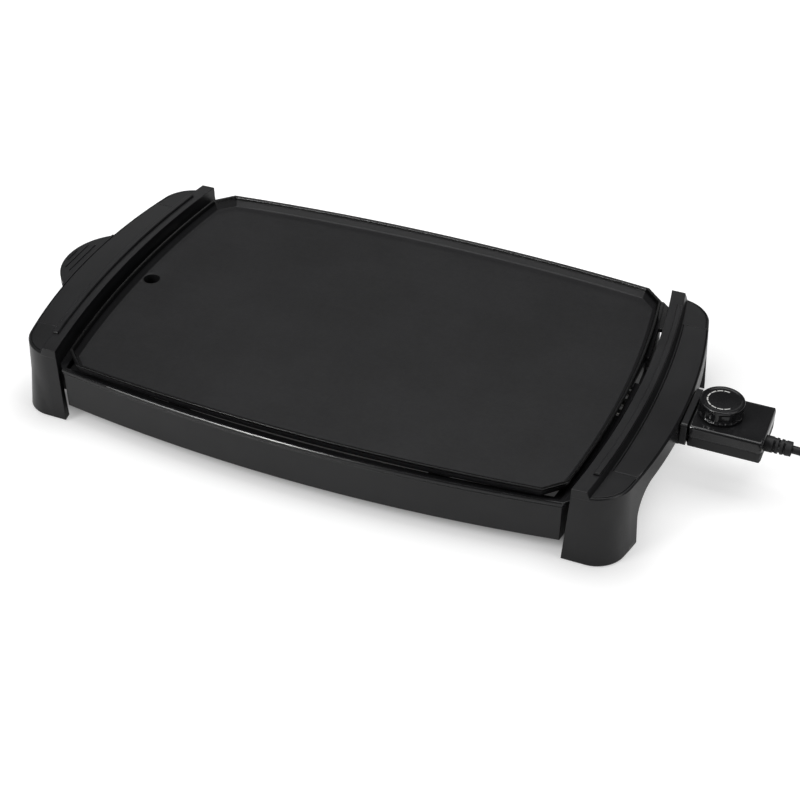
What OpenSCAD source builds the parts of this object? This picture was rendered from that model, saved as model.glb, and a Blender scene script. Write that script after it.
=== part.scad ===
// Electric griddle: rimmed plate on a low base, two handle-legs, drip tray and plug-in controller.
// Millimetres. X runs along the plate to the controller, Y to the back, Z up, floor at Z = 0.

/* [Griddle plate] */
// Length of the plate over its bowed ends
plate_len = 480; // [440:1:520]
// Width of the plate over its bowed sides
plate_wid = 329; // [300:1:350]
// Radius of the two long sides in plan
side_bow_r = 1914; // [1500:1:2600]
// Radius of the two ends in plan
end_bow_r = 930; // [800:1:1200]
// How far the corners are cut back, measured along both sides together
corner_cut = 39; // [34:0.5:46]
// Height of the cooking surface above the floor
surface_z = 60; // [59:0.5:62]
// Thickness of the plate under the food
plate_t = 3.5; // [3:0.1:4]
// Height of the rim above the cooking surface
rim_h = 8; // [6:0.5:10]
// Width of the rim's flat top
rim_t = 3; // [2:0.1:4]
// How far the rim leans outwards over its height
rim_lean = 4.5; // [3:0.1:6]
// Diameter of the fat drain
drain_d = 15; // [12:0.5:17]
// Distance of the drain's centre from the end of the plate
drain_inset = 16; // [15:0.5:22]
// How far the drain's spout hangs below the plate
spout_drop = 7; // [4:0.5:8]

/* [Heating] */
// Diameter of the tubular element
element_d = 7.4; // [6.4:0.1:8]
// Depth of the element's axis below the cooking surface
element_depth = 9; // [8.5:0.1:9.5]
// Half length of the element's loop to the left
loop_left = 165; // [140:1:180]
// Half length of the element's loop to the right
loop_right = 196; // [185:1:200]
// Half width of the element's loop
loop_half = 95; // [80:1:98]
// Bend radius of the element
loop_r = 30; // [25:1:36]
// Bend radius where the element turns to its terminals
leg_bend_r = 11; // [10:0.5:13]
// Distance between the two terminal pins
pin_pitch = 28; // [26:0.5:32]
// Diameter of a terminal pin
pin_d = 5; // [4:0.1:5.6]
// Length of a terminal pin outside its insulator
pin_len = 44; // [38:1:48]
// Height of the heat reflector above the floor
reflector_z = 39; // [36:0.5:40]
// Thickness of the reflector sheet
reflector_t = 0.6; // [0.4:0.1:1]
// Height of the reflector's turned-up edge
reflector_lip = 4; // [2:0.5:4]

/* [Base frame] */
// Gap in plan between the plate's rim and the base's outer face
base_step = 2.5; // [1.5:0.1:4]
// Radius of the base's long sides in plan
base_side_r = 1500; // [1300:1:1900]
// Radius of the base's ends in plan
base_end_r = 930; // [800:1:1200]
// How far the base's corners are cut back, measured along both sides together
base_cut = 30; // [26:0.5:36]
// Height of the base's lower edge above the floor
base_z = 17; // [12:0.5:22]
// Height of the base's lip above the floor
base_top = 57.5; // [56:0.5:58.5]
// Wall of the base
base_wall = 2.5; // [2:0.1:3]
// How far the lip stands out from the wall
lip_out = 1.3; // [0.8:0.1:1.8]
// Height of the lip's bead
lip_h = 4.2; // [3:0.1:5]
// Thickness of the ears that carry the handles
ear_t = 3; // [2.5:0.1:3.5]

/* [Handles] */
// Air gap between the plate and the handle's ridge
ridge_gap = 8; // [6:0.5:10]
// Depth of a handle from ridge to outer face
handle_depth = 43; // [40:0.5:50]
// Length of a handle over its legs, at the panel
handle_len = 298; // [284:1:306]
// Radius of the ridge in plan
ridge_bow_r = 872; // [820:1:930]
// Radius of the handle's outer face in plan
outer_bow_r = 555; // [500:1:700]
// Radius of the handle's outer corners in plan, at the panel
handle_corner_r = 34; // [28:1:36]
// Radius of the same corners at the floor
leg_corner_r = 24; // [20:1:34]
// Height of the handle's panel above the floor
panel_z = 67.5; // [66.5:0.5:68.5]
// Height of the ridge above the panel
ridge_h = 6; // [4:0.5:7]
// Width of the ridge's top
ridge_w = 12.5; // [11:0.5:14]
// Height of the bar above the ridge
bar_h = 2.2; // [1.4:0.1:2.8]
// Width of the bar
bar_w = 5.2; // [4:0.1:6]
// Length of the bar
bar_len = 252; // [230:1:262]
// Length of the grip cover between its seams
cover_len = 218; // [208:1:224]
// Thickness of the grip cover
cover_t = 2.2; // [1.8:0.1:2.4]
// How far the legs spread towards the floor
leg_flare = 3.6; // [2:0.1:5]
// Wall of the handle moulding
handle_wall = 3; // [2.6:0.1:3.2]
// Clear height under the bridge of a handle
bridge_z = 50.5; // [50:0.1:51]
// Width of a leg, from the arch to the end of the handle
leg_wid = 38; // [35:1:43]
// Radius of the arch's shoulders
arch_r = 26; // [16:1:30]
// Diameter of a rubber foot
foot_d = 17; // [14:0.5:19]
// Height of a rubber foot
foot_h = 4; // [3:0.5:5]
// Height of the legs' edge above the floor
leg_lift = 1; // [0.6:0.1:1.6]

/* [Drip tray] */
// Half width of the tray's basin
tray_half = 46; // [40:0.5:47]
// Length of the basin
tray_len = 80; // [76:1:84]
// Height of the tray's floor above the ground
tray_z = 25; // [22:0.5:28]
// Depth of the basin
tray_h = 20.5; // [16:0.5:21]
// Wall of the tray
tray_wall = 2; // [1.6:0.1:2.4]
// Height of the pull tab's top above the floor
tab_z = 65; // [60:0.5:66]
// How far the tab reaches past the handle
tab_reach = 22; // [18:0.5:26]
// Half width of the tab where it meets the tray's front
tab_half = 45; // [38:0.5:46]
// Travel of the tray when it is pulled out
tray_travel = 95; // [80:1:110]

/* [Controller] */
// Length of the controller's box
box_len = 63; // [57:0.5:66]
// Width of the box
box_wid = 54; // [50:0.5:56]
// Height of the box's underside above the floor
box_z = 43; // [42.5:0.1:43.5]
// Height of the box
box_h = 21.6; // [21:0.1:23]
// Wall of the housing
box_wall = 2; // [1.6:0.1:2.2]
// Corner radius of the box in plan
box_r = 5; // [3:0.5:6]
// Gap between the handle's outer face and the box
box_gap = 6.5; // [5.5:0.1:7]
// Length of the nose that enters the guard
nose_len = 35; // [33:0.5:37]
// Width of the nose
nose_wid = 44; // [42:0.5:45]
// Diameter of the probe
probe_d = 7.8; // [6:0.1:8.4]
// Length of the probe past the nose
probe_len = 76; // [70:1:82]
// Diameter of the knob's skirt
knob_d = 38.4; // [38:0.2:43]
// Diameter of the knob's top
knob_top_d = 37; // [34:0.5:37.5]
// Height of the knob
knob_h = 14.6; // [12:0.2:17]
// Diameter of the knob's spindle
spindle_d = 6; // [5:0.1:7]
// Turn of the knob in degrees
knob_turn = 270; // [180:5:300]

/* [Cord] */
// Diameter of the cord
cord_d = 7; // [6.6:0.1:7.2]
// Length of the strain relief
relief_len = 22; // [20:1:30]
// Offset of the cord's exit from the middle of the box
relief_y = -8.4; // [-10:0.2:-6]

/* [Fits] */
// Radial gap of a part that slides or turns in another
run_gap = 0.1; // [0.05:0.01:0.1]
// Gap between pieces that stay clear of each other
free_gap = 0.5; // [0.4:0.05:0.6]
// Gap round an inlaid piece
seam_gap = 0.3; // [0.2:0.05:0.5]
// Diameter of the assembly screws
screw_d = 3; // [2.5:0.1:3.2]
// Length of the long assembly screws under their heads
screw_len = 11; // [9:0.5:12]
// Length of the short assembly screws under their heads
short_len = 7; // [5:0.5:8]

/* [Hidden] */
$fn = 64;
bow_fn = 360;
eps = 0.01;

hl = plate_len / 2;
hw = plate_wid / 2;
plate_under = surface_z - plate_t;
rim_top = surface_z + rim_h;
corner_sum = hl + hw - corner_cut;
edge_z = plate_under + 2;
edge_in = -(rim_lean + 1) * (rim_top - edge_z) / (rim_top - plate_under);

base_hl = hl + 1;
base_hw = hw + base_step;

ridge_x = hl + ridge_gap;
outer_x = ridge_x + handle_depth;
ridge_top = panel_z + ridge_h;
leg_half = handle_len / 2;
arch_half = leg_half - leg_wid;
recess_z = panel_z - cover_t;
roof_z = recess_z - handle_wall;
ridge_foot = ridge_w + ridge_h / 2;
ear_top = bridge_z;
ear_y0 = 58;
ear_y1 = arch_half - arch_r - 0.5;
ear_x1 = ridge_x + 23;
web_y = ear_y1 + 24;
ear_screw = [ridge_x + 16, ear_y1 - 8.5];
guard_screw = [outer_x - 19, 35];
cover_screw_y = [48, cover_len / 2 - 11];
cover_screw_x = outer_x - 20;
foot_at = [ridge_x + 14, leg_half - leg_wid / 2 + 1];
foot_stem_d = 6;
foot_stem_h = 10;

el_z = surface_z - element_depth;
el_r = element_d / 2;
pin_x0 = hl - 12;
pin_x1 = pin_x0 + pin_len;
insul_d = pin_d + 4.4;
insul_len = 14;
loop_x1 = loop_right - leg_bend_r;
clamp_t = 1;
clamp_w = 10;
clamp_at = [[-90, 1], [60, 1], [-90, -1], [60, -1]];
boss_d = 10;
plate_boss = [120, hw - 46];
bracket_t = 2;
bracket_z = 35;
bracket_r = 7;
base_boss_y = base_hw - 17;
refl_boss = [112, 50];
probe_boss_d = 15;
probe_boss_x0 = 150;
probe_boss_x1 = hl - 18;

box_x0 = outer_x + box_gap;
box_x1 = box_x0 + box_len;
box_top = box_z + box_h;
nose_x0 = box_x0 - nose_len;
nose_z0 = box_z + 1.5;
nose_z1 = roof_z - 3.8;
knob_x = box_x0 + 21;
knob_z = box_top + 0.4;
split_z = box_z + box_h * 0.5;
probe_tip = nose_x0 - probe_len;
sleeve_d = pin_d + 2.4;
sleeve_len = 24;
sleeve_x0 = nose_x0 + 2;
guard_wall = 2.2;
guard_in = nose_wid / 2 + free_gap;
guard_out = guard_in + guard_wall;
collar_out = box_wid / 2 + 0.5;
collar_in = collar_out - 2.4;
relief_z = box_z + 9.5;
relief_x1 = box_x1 + relief_len;
relief_d = 14;

tab_x = outer_x + tab_reach;
front_gap = 1;
front_t = 2.4;
tray_x1 = outer_x - 3;
tray_x0 = tray_x1 - tray_len;
tray_top = tray_z + tray_h;
flange_w = 5;
rail_t = 1.6;
rail_len = 66;
rail_x0 = base_hl - 28;

// The whole part is moved so that its bounding box stands centred on the origin.
origin_x = -(relief_x1 - tab_x) / 2;

// Free run of the cord, as offsets from the end of the relief, down to the floor
route = [[-40, 0, 0], [-20, 0, 0], [0, 0, 0], [6, 0, 0], [15, 0, -1.2], [23, 0, -4.6], [30, 0, -10],
  [35.5, 0, -17], [38.7, 0, -24.5], [42, 0, -32], [47.5, 0, -39], [54.5, 0, -44.4], [62.5, 0, -47.2],
  [71.5, 0, -48.1], [84, 0, -48.1], [95, 0, -48.1]];
cord_r = cord_d / 2;
tie_t = 0.8;
coil_z = tie_t + 0.1 + cord_d;
coil_mean = 38.5;
coil_c = [relief_x1 + route[len(route) - 1][0], relief_y - coil_mean - cord_r];
plug_at = [32, -20];
plug_c = [coil_c[0] + plug_at[0], coil_c[1] + plug_at[1]];
plug_w = 30;
plug_t = 28;
plug_len = 36;
plug_z = coil_z + cord_d + plug_t / 2;

// ---- helpers ------------------------------------------------------------------------------

// Rectangle with round corners, centred
module rrect(lx, ly, r) {
  square([lx - 2 * r, ly], center = true);
  square([lx, ly - 2 * r], center = true);
  for (sx = [-1, 1], sy = [-1, 1])
    translate([sx * (lx / 2 - r), sy * (ly / 2 - r)]) circle(r);
}

// Block with round upright corners between two corners of a box
module rblock(x0, x1, y0, y1, z0, z1, r) {
  translate([(x0 + x1) / 2, (y0 + y1) / 2, z0])
    linear_extrude(z1 - z0) rrect(x1 - x0, y1 - y0, r);
}

// Round hole or pin along Z
module pin(x, y, z0, z1, d) {
  translate([x, y, z0]) cylinder(h = z1 - z0, d = d);
}

// Round bar along X
module xbar(x0, x1, y, z, d) {
  translate([x0, y, z]) rotate([0, 90, 0]) cylinder(h = x1 - x0, d = d);
}

// Pan-head screw that points up, its head under z
module screw_up(x, y, z, len, d = screw_d) {
  pin(x, y, z - eps, z + len, d);
  translate([x, y, z - 1.8]) cylinder(h = 1.8, d1 = d * 1.5, d2 = d * 2);
}

module four() {
  for (sx = [0, 1], sy = [0, 1])
    mirror([sx, 0, 0]) mirror([0, sy, 0]) children();
}

module both_y() {
  children();
  mirror([0, 1, 0]) children();
}

// Solid whose four sides are arcs in plan; o0 and o1 push the sides out at z0 and z1
module bowed(ax, ay, rx, ry, z0, z1, o0, o1) {
  h = z1 - z0;
  intersection() {
    translate([0, ay - ry, z0]) cylinder(h = h, r1 = ry + o0, r2 = ry + o1, $fn = bow_fn);
    translate([0, ry - ay, z0]) cylinder(h = h, r1 = ry + o0, r2 = ry + o1, $fn = bow_fn);
    translate([ax - rx, 0, z0]) cylinder(h = h, r1 = rx + o0, r2 = rx + o1, $fn = bow_fn);
    translate([rx - ax, 0, z0]) cylinder(h = h, r1 = rx + o0, r2 = rx + o1, $fn = bow_fn);
  }
}

// Trapezoid prism: half width w0 at z0 and w1 at z1, along the diagonal
module diagonal(a, w0, w1, z0, z1) {
  rotate([0, 0, a]) rotate([90, 0, 0]) translate([0, 0, -600]) linear_extrude(1200)
    polygon([[-w0, z0], [w0, z0], [w1, z1], [-w1, z1]]);
}

// Plan of the plate with its corners cut straight
module plate_form(z0, z1, o0, o1) {
  k = corner_sum / sqrt(2);
  intersection() {
    bowed(hl, hw, end_bow_r, side_bow_r, z0, z1, o0, o1);
    diagonal(45, k + o0, k + o1, z0, z1);
    diagonal(-45, k + o0, k + o1, z0, z1);
  }
}

function unit(v) = v / norm(v);

// What a round corner takes away: the wedge outside the corner circle
module corner_wedge(c, ua, ub, r0, r1, z0, z1) {
  k = 3 * r1 + 30;
  difference() {
    translate([0, 0, z0 - eps]) linear_extrude(z1 - z0 + 2 * eps)
      polygon([c, c + ua * k, c + (ua + ub) * k, c + ub * k]);
    translate([c[0], c[1], z0 - 2 * eps]) cylinder(h = z1 - z0 + 4 * eps, r1 = r0, r2 = r1);
  }
}

// Section of one side of the base from its foot to its lip, as [how far out, height]
function lip_section() = let (zl = base_top - lip_h) [[0, base_z], [0, zl - 1.9], [0.6, zl - 1.6],
  [0.6, zl - 0.8], [0, zl - 0.5], [0, zl - 0.1], [0.9, zl + 0.3], [lip_out, zl + 1],
  [lip_out, base_top - 1], [lip_out - 1, base_top]];

// Section of a plain upright side between two heights
function flat_section(z0, z1, o) = [[o, z0], [o, z1]];

// Body of revolution whose edge follows a section
module round_side(r, sec) {
  rotate_extrude($fn = bow_fn)
    polygon(concat([[0, sec[0][1]]], [for (p = sec) [r + p[0], p[1]]], [[0, sec[len(sec) - 1][1]]]));
}

// Prism along the diagonal whose two edges follow a section, a hair higher so that no four
// faces meet in one point
module straight_side(a, k, sec) {
  n = len(sec) - 1;
  half = concat([[k + sec[0][0], sec[0][1] - 1]], [for (p = sec) [k + p[0], p[1] + 0.04]],
    [[k + sec[n][0], sec[n][1] + 1]]);
  rotate([0, 0, a]) rotate([90, 0, 0]) translate([0, 0, -600]) linear_extrude(1200)
    polygon(concat(half, [for (i = [n + 2:-1:0]) [-half[i][0], half[i][1]]]));
}

// Plan of the base, with the same straight corners as the plate, every side with the same
// section; past pushes the ends out
module base_form(sec, past = 0) {
  k = (base_hl + base_hw - base_cut) / sqrt(2);
  intersection() {
    translate([0, base_hw - base_side_r, 0]) round_side(base_side_r, sec);
    translate([0, base_side_r - base_hw, 0]) round_side(base_side_r, sec);
    translate([base_hl + past - base_end_r, 0, 0]) round_side(base_end_r, sec);
    translate([base_end_r - base_hl - past, 0, 0]) round_side(base_end_r, sec);
    straight_side(45, k, sec);
    straight_side(-45, k, sec);
  }
}

// Right handle's plan between ridge face and outer face; o pushes both faces and the ends out
module handle_form(z0, z1, o0, o1, r = handle_corner_r) {
  h = z1 - z0;
  A = [outer_x - outer_bow_r, 0];
  cy = leg_half - r;
  c = [A[0] + sqrt(pow(outer_bow_r - r, 2) - cy * cy), cy];
  difference() {
    intersection() {
      translate([A[0], 0, z0]) cylinder(h = h, r1 = outer_bow_r + o0, r2 = outer_bow_r + o1, $fn = bow_fn);
      rotate([90, 0, 90]) translate([0, 0, hl - 60]) linear_extrude(handle_depth + 120)
        polygon([[-leg_half - o0, z0], [leg_half + o0, z0], [leg_half + o1, z1], [-leg_half - o1, z1]]);
    }
    translate([ridge_x - ridge_bow_r, 0, z0 - eps])
      cylinder(h = h + 2 * eps, r1 = ridge_bow_r - o0 * 0.7, r2 = ridge_bow_r - o1 * 0.7, $fn = bow_fn);
    both_y() corner_wedge(c, unit(c - A), [0, 1], r + o0, r + o1, z0, z1);
  }
}

// Arch between the legs, seen along X; o pushes its edge out
module arch(o) {
  hy = arch_half + o;
  top = bridge_z + o;
  r = arch_r + o;
  translate([-hy, -5]) square([2 * hy, top - r + 5]);
  translate([-hy + r, -5]) square([2 * (hy - r), top + 5]);
  for (s = [-1, 1]) translate([s * (hy - r), top - r]) circle(r);
}

// Ring sector that follows the ridge
module ridge_ring(r0, r1b, r1t, z0, z1, len) {
  intersection() {
    translate([ridge_x - ridge_bow_r, 0, z0]) difference() {
      cylinder(h = z1 - z0, r1 = ridge_bow_r + r1b, r2 = ridge_bow_r + r1t, $fn = bow_fn);
      translate([0, 0, -1]) cylinder(h = z1 - z0 + 2, r = ridge_bow_r + r0, $fn = bow_fn);
    }
    translate([hl - 40, -len / 2, z0]) cube([handle_depth + 90, len, z1 - z0]);
  }
}

// ---- plate and heating -----------------------------------------------------------------------

// Path of the element: straight runs and bends with a round section
module element_path(d) {
  y1 = pin_pitch / 2;
  yb = y1 + leg_bend_r;
  both_y() {
    xbar(loop_right, pin_x0 - insul_len + 2, y1, el_z, d);
    translate([loop_right, yb, el_z]) rotate([0, 0, 180]) rotate_extrude(angle = 90)
      translate([leg_bend_r, 0]) circle(d = d);
    ybar(loop_x1, yb, loop_half - loop_r, d);
    translate([loop_x1 - loop_r, loop_half - loop_r, el_z]) rotate_extrude(angle = 90)
      translate([loop_r, 0]) circle(d = d);
    xbar(-loop_left + loop_r, loop_x1 - loop_r, loop_half, el_z, d);
    translate([-loop_left + loop_r, loop_half - loop_r, el_z]) rotate([0, 0, 90])
      rotate_extrude(angle = 90) translate([loop_r, 0]) circle(d = d);
    ybar(-loop_left, -eps, loop_half - loop_r, d);
  }
}

module ybar(x, y0, y1, d) {
  translate([x, y0, el_z]) rotate([-90, 0, 0]) cylinder(h = y1 - y0, d = d);
}

// Rib under the plate that carries the element
module element_rib() {
  w = element_d + 6;
  gap = pin_pitch / 2 + leg_bend_r;
  translate([(loop_x1 - loop_left) / 2, 0, el_z]) linear_extrude(plate_under - el_z + eps) difference() {
    rrect(loop_x1 + loop_left + w, 2 * loop_half + w, loop_r + w / 2);
    rrect(loop_x1 + loop_left - w, 2 * loop_half - w, loop_r - w / 2);
    translate([0, -gap]) square([loop_x1 + loop_left, 2 * gap]);
  }
}

module griddle_plate() {
  color([0.16, 0.16, 0.165]) difference() {
    union() {
      difference() {
        union() {
          plate_form(plate_under, edge_z + 0.1, -rim_lean - 4, edge_in - 0.05);
          plate_form(edge_z, rim_top, edge_in, 0);
        }
        plate_form(surface_z, rim_top + eps, -rim_lean - rim_t, -rim_t + 0.005);
      }
      element_rib();
      four() pin(plate_boss[0], plate_boss[1], bracket_z + bracket_t, plate_under + eps, boss_d);
      four() pin(refl_boss[0], refl_boss[1], reflector_z + reflector_t, plate_under + eps, boss_d - 1);
      pin(-hl + drain_inset, 0, plate_under - spout_drop, plate_under + eps, drain_d + 5);
      xbar(probe_boss_x0, probe_boss_x1, 0, el_z, probe_boss_d);
      translate([probe_boss_x0, -probe_boss_d / 2, el_z])
        cube([probe_boss_x1 - probe_boss_x0, probe_boss_d, plate_under - el_z + eps]);
      // stiffening ribs across the underside
      for (x = [-60, 30, 120])
        translate([x - 1.5, -loop_half + 4, plate_under - 4]) cube([3, 2 * loop_half - 8, 4 + eps]);
      // clamp bosses beside the element
      for (c = clamp_at)
        pin(c[0], c[1] * (loop_half - clamp_seat()), el_z - 0.2, plate_under + eps, 7);
    }
    element_path(element_d);
    translate([-hl + drain_inset, 0, 0]) rotate_extrude()
      polygon([[0, plate_under - spout_drop - 1], [drain_d / 2, plate_under - spout_drop - 1],
        [drain_d / 2, surface_z - 0.5], [drain_d / 2 + 0.6, surface_z + 0.1], [0, surface_z + 0.1]]);
    xbar(probe_tip - 4, probe_boss_x1 + 1, 0, el_z, probe_d + 2 * run_gap);
    four() pin(plate_boss[0], plate_boss[1], bracket_z - 1, bracket_z + screw_len + 3, screw_d);
    four() pin(refl_boss[0], refl_boss[1], reflector_z - 1, reflector_z + short_len + 1.6, screw_d);
    for (c = clamp_at)
      pin(c[0], c[1] * (loop_half - clamp_seat()), el_z - 1, el_z + 5, screw_d);
  }
}

function clamp_seat() = element_d / 2 + 5;

module heating_element() {
  color([0.45, 0.44, 0.43]) element_path(element_d);
}

module terminal_pins() {
  color([0.78, 0.78, 0.76]) both_y() {
    xbar(pin_x0 - insul_len + 2, pin_x1 - 2, pin_pitch / 2, el_z, pin_d);
    translate([pin_x1 - 2, pin_pitch / 2, el_z]) rotate([0, 90, 0])
      cylinder(h = 2, d1 = pin_d, d2 = pin_d - 2);
  }
}

module terminal_insulators() {
  color([0.9, 0.88, 0.82]) both_y() difference() {
    union() {
      xbar(pin_x0 - insul_len + 2, pin_x0, pin_pitch / 2, el_z, insul_d - 1.4);
      xbar(pin_x0 - 5, pin_x0 - 2, pin_pitch / 2, el_z, insul_d + 1);
    }
    xbar(pin_x0 - insul_len, pin_x0 + 1, pin_pitch / 2, el_z, pin_d);
  }
}

// Strap that presses the element into its rib
module clamp_one() {
  s = clamp_seat();
  difference() {
    union() {
      intersection() {
        difference() {
          rotate([0, 90, 0]) cylinder(h = clamp_w, d = element_d + 2 * clamp_t, center = true);
          rotate([0, 90, 0]) cylinder(h = clamp_w + 1, d = element_d, center = true);
        }
        translate([-clamp_w, -element_d, -element_d]) cube([2 * clamp_w, 2 * element_d, element_d - 0.2]);
      }
      translate([-clamp_w / 2, -s - 5, -0.2 - clamp_t])
        cube([clamp_w, s + 5 - element_d / 2 - clamp_t / 2, clamp_t]);
      translate([-clamp_w / 2, element_d / 2 + 0.2, -0.2 - clamp_t]) cube([clamp_w, 2.4, clamp_t]);
    }
    translate([0, -s, -3]) cylinder(h = 6, d = screw_d);
  }
}

module element_clamps() {
  color([0.7, 0.7, 0.7]) for (c = clamp_at)
    translate([c[0], c[1] * loop_half, el_z]) mirror([0, c[1] > 0 ? 0 : 1, 0]) clamp_one();
}

module clamp_screws() {
  color([0.75, 0.75, 0.74]) for (c = clamp_at)
    screw_up(c[0], c[1] * (loop_half - clamp_seat()), el_z - 0.2 - clamp_t, 5);
}

module heat_reflector() {
  x0 = -loop_left - 8;
  x1 = loop_x1 + 8;
  yh = loop_half + 8;
  color([0.75, 0.76, 0.77]) difference() {
    rblock(x0, x1, -yh, yh, reflector_z, reflector_z + reflector_lip, 18);
    rblock(x0 + reflector_t, x1 - reflector_t, -yh + reflector_t, yh - reflector_t,
      reflector_z + reflector_t, reflector_z + 8, 18 - reflector_t);
    four() pin(refl_boss[0], refl_boss[1], reflector_z - 1, reflector_z + 2, screw_d);
    for (x = [-100, -60, -20, 20, 60, 100])
      rblock(x - 12, x + 12, -2.5, 2.5, reflector_z - 1, reflector_z + 2, 2.4);
  }
}

module reflector_screws() {
  color([0.75, 0.75, 0.74]) four() screw_up(refl_boss[0], refl_boss[1], reflector_z, short_len);
}

// ---- base ------------------------------------------------------------------------------------

module ear() {
  x0 = base_hl - 6;
  difference() {
    rblock(x0, ear_x1, ear_y0, ear_y1, ear_top - ear_t, ear_top, 4);
    pin(ear_screw[0], ear_screw[1], ear_top - ear_t - 1, ear_top + 1, screw_d + 0.4);
    for (x = [x0 + 10, ear_x1 - 6])
      pin(x, ear_y0 + 6, ear_top - ear_t - 1, ear_top - 0.6, screw_d);
  }
  // gussets from the wall under the ear
  for (y = [ear_y0 + 15, ear_y1 - 1])
    translate([base_hl - 5, y, 0]) rotate([90, 0, 0]) linear_extrude(2)
      polygon([[0, ear_top - ear_t + eps], [22, ear_top - ear_t + eps], [0, ear_top - ear_t - 16]]);
}

module base_frame() {
  zl = base_top - lip_h;
  boss_top = base_top - 6.3;
  hood = pin_pitch / 2 + 7;
  color([0.2, 0.2, 0.205]) difference() {
    union() {
      difference() {
        base_form(lip_section());
        base_form(flat_section(base_z - 1, base_top + 1, -base_wall));
      }
      // bosses for the brackets, tied to the wall
      intersection() {
        base_form(flat_section(base_z, base_top, -base_wall / 2));
        four() {
          pin(plate_boss[0], base_boss_y, bracket_z + bracket_t, boss_top, boss_d);
          translate([plate_boss[0] - 1.2, base_boss_y, bracket_z + bracket_t])
            cube([2.4, 20, boss_top - bracket_z - bracket_t]);
        }
      }
      // upright ribs inside the long walls
      intersection() {
        difference() {
          base_form(flat_section(base_z, boss_top, -base_wall / 2));
          base_form(flat_section(base_z - 1, boss_top + 1, -base_wall - 4));
        }
        four() for (x = [0, 60, 180]) translate([x - 1, base_hw - 40, base_z]) cube([2, 50, boss_top - base_z]);
      }
      // ledge that closes the gap under the plate's rim
      difference() {
        base_form(flat_section(boss_top - 0.7, boss_top + 1.3, -1));
        base_form(flat_section(boss_top - 2, boss_top + 3, -11));
      }
      // the lip runs on past the corners to the handles
      four() intersection() {
        difference() {
          base_form(flat_section(zl + 0.2, base_top - 0.2, lip_out - 0.4), 12);
          base_form(flat_section(zl - 1, base_top + 1, -1));
        }
        translate([ridge_x - ridge_bow_r, 0, zl - 1]) cylinder(h = lip_h + 2, r = ridge_bow_r - 1, $fn = bow_fn);
        translate([base_hl - 60, web_y, zl - 2]) cube([80, base_hw - web_y, lip_h + 4]);
      }
      four() ear();
      // hood over the terminals
      rblock(hl - 1, ridge_x - 1.4, -hood - 1.5, hood + 1.5, el_z - 8, base_top - 0.6, 1);
    }
    four() pin(plate_boss[0], base_boss_y, bracket_z - 1, bracket_z + screw_len + 3, screw_d);
    // window for the terminals and the probe
    translate([hl - 20, -hood, el_z - 11]) cube([60, 2 * hood, 15.5]);
    // vent beside the terminals
    translate([base_hl - 4.5, hood + 1.5, el_z - 8]) cube([9.5, ear_y0 + 3.5 - hood - 1.5, 20]);
    // room for the drain's spout
    pin(-hl + drain_inset, 0, ear_top - 4, base_top, drain_d + 8);
    // window for the drip tray
    translate([-hl - 40, -ear_y0 + eps, tray_z - 3]) cube([60, 2 * ear_y0 - 2 * eps, tray_h + 5.5]);
  }
}

module plate_brackets() {
  color([0.72, 0.72, 0.72]) four() difference() {
    union() {
      for (y = [plate_boss[1], base_boss_y])
        pin(plate_boss[0], y, bracket_z, bracket_z + bracket_t, 2 * bracket_r);
      translate([plate_boss[0] - bracket_r, plate_boss[1], bracket_z])
        cube([2 * bracket_r, base_boss_y - plate_boss[1], bracket_t]);
    }
    for (y = [plate_boss[1], base_boss_y]) pin(plate_boss[0], y, bracket_z - 1, bracket_z + 5, screw_d);
  }
}

module plate_screws() {
  color([0.75, 0.75, 0.74]) four() screw_up(plate_boss[0], plate_boss[1], bracket_z, screw_len);
}

module bracket_screws() {
  color([0.75, 0.75, 0.74]) four() screw_up(plate_boss[0], base_boss_y, bracket_z, screw_len);
}

// ---- handles ---------------------------------------------------------------------------------

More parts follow.
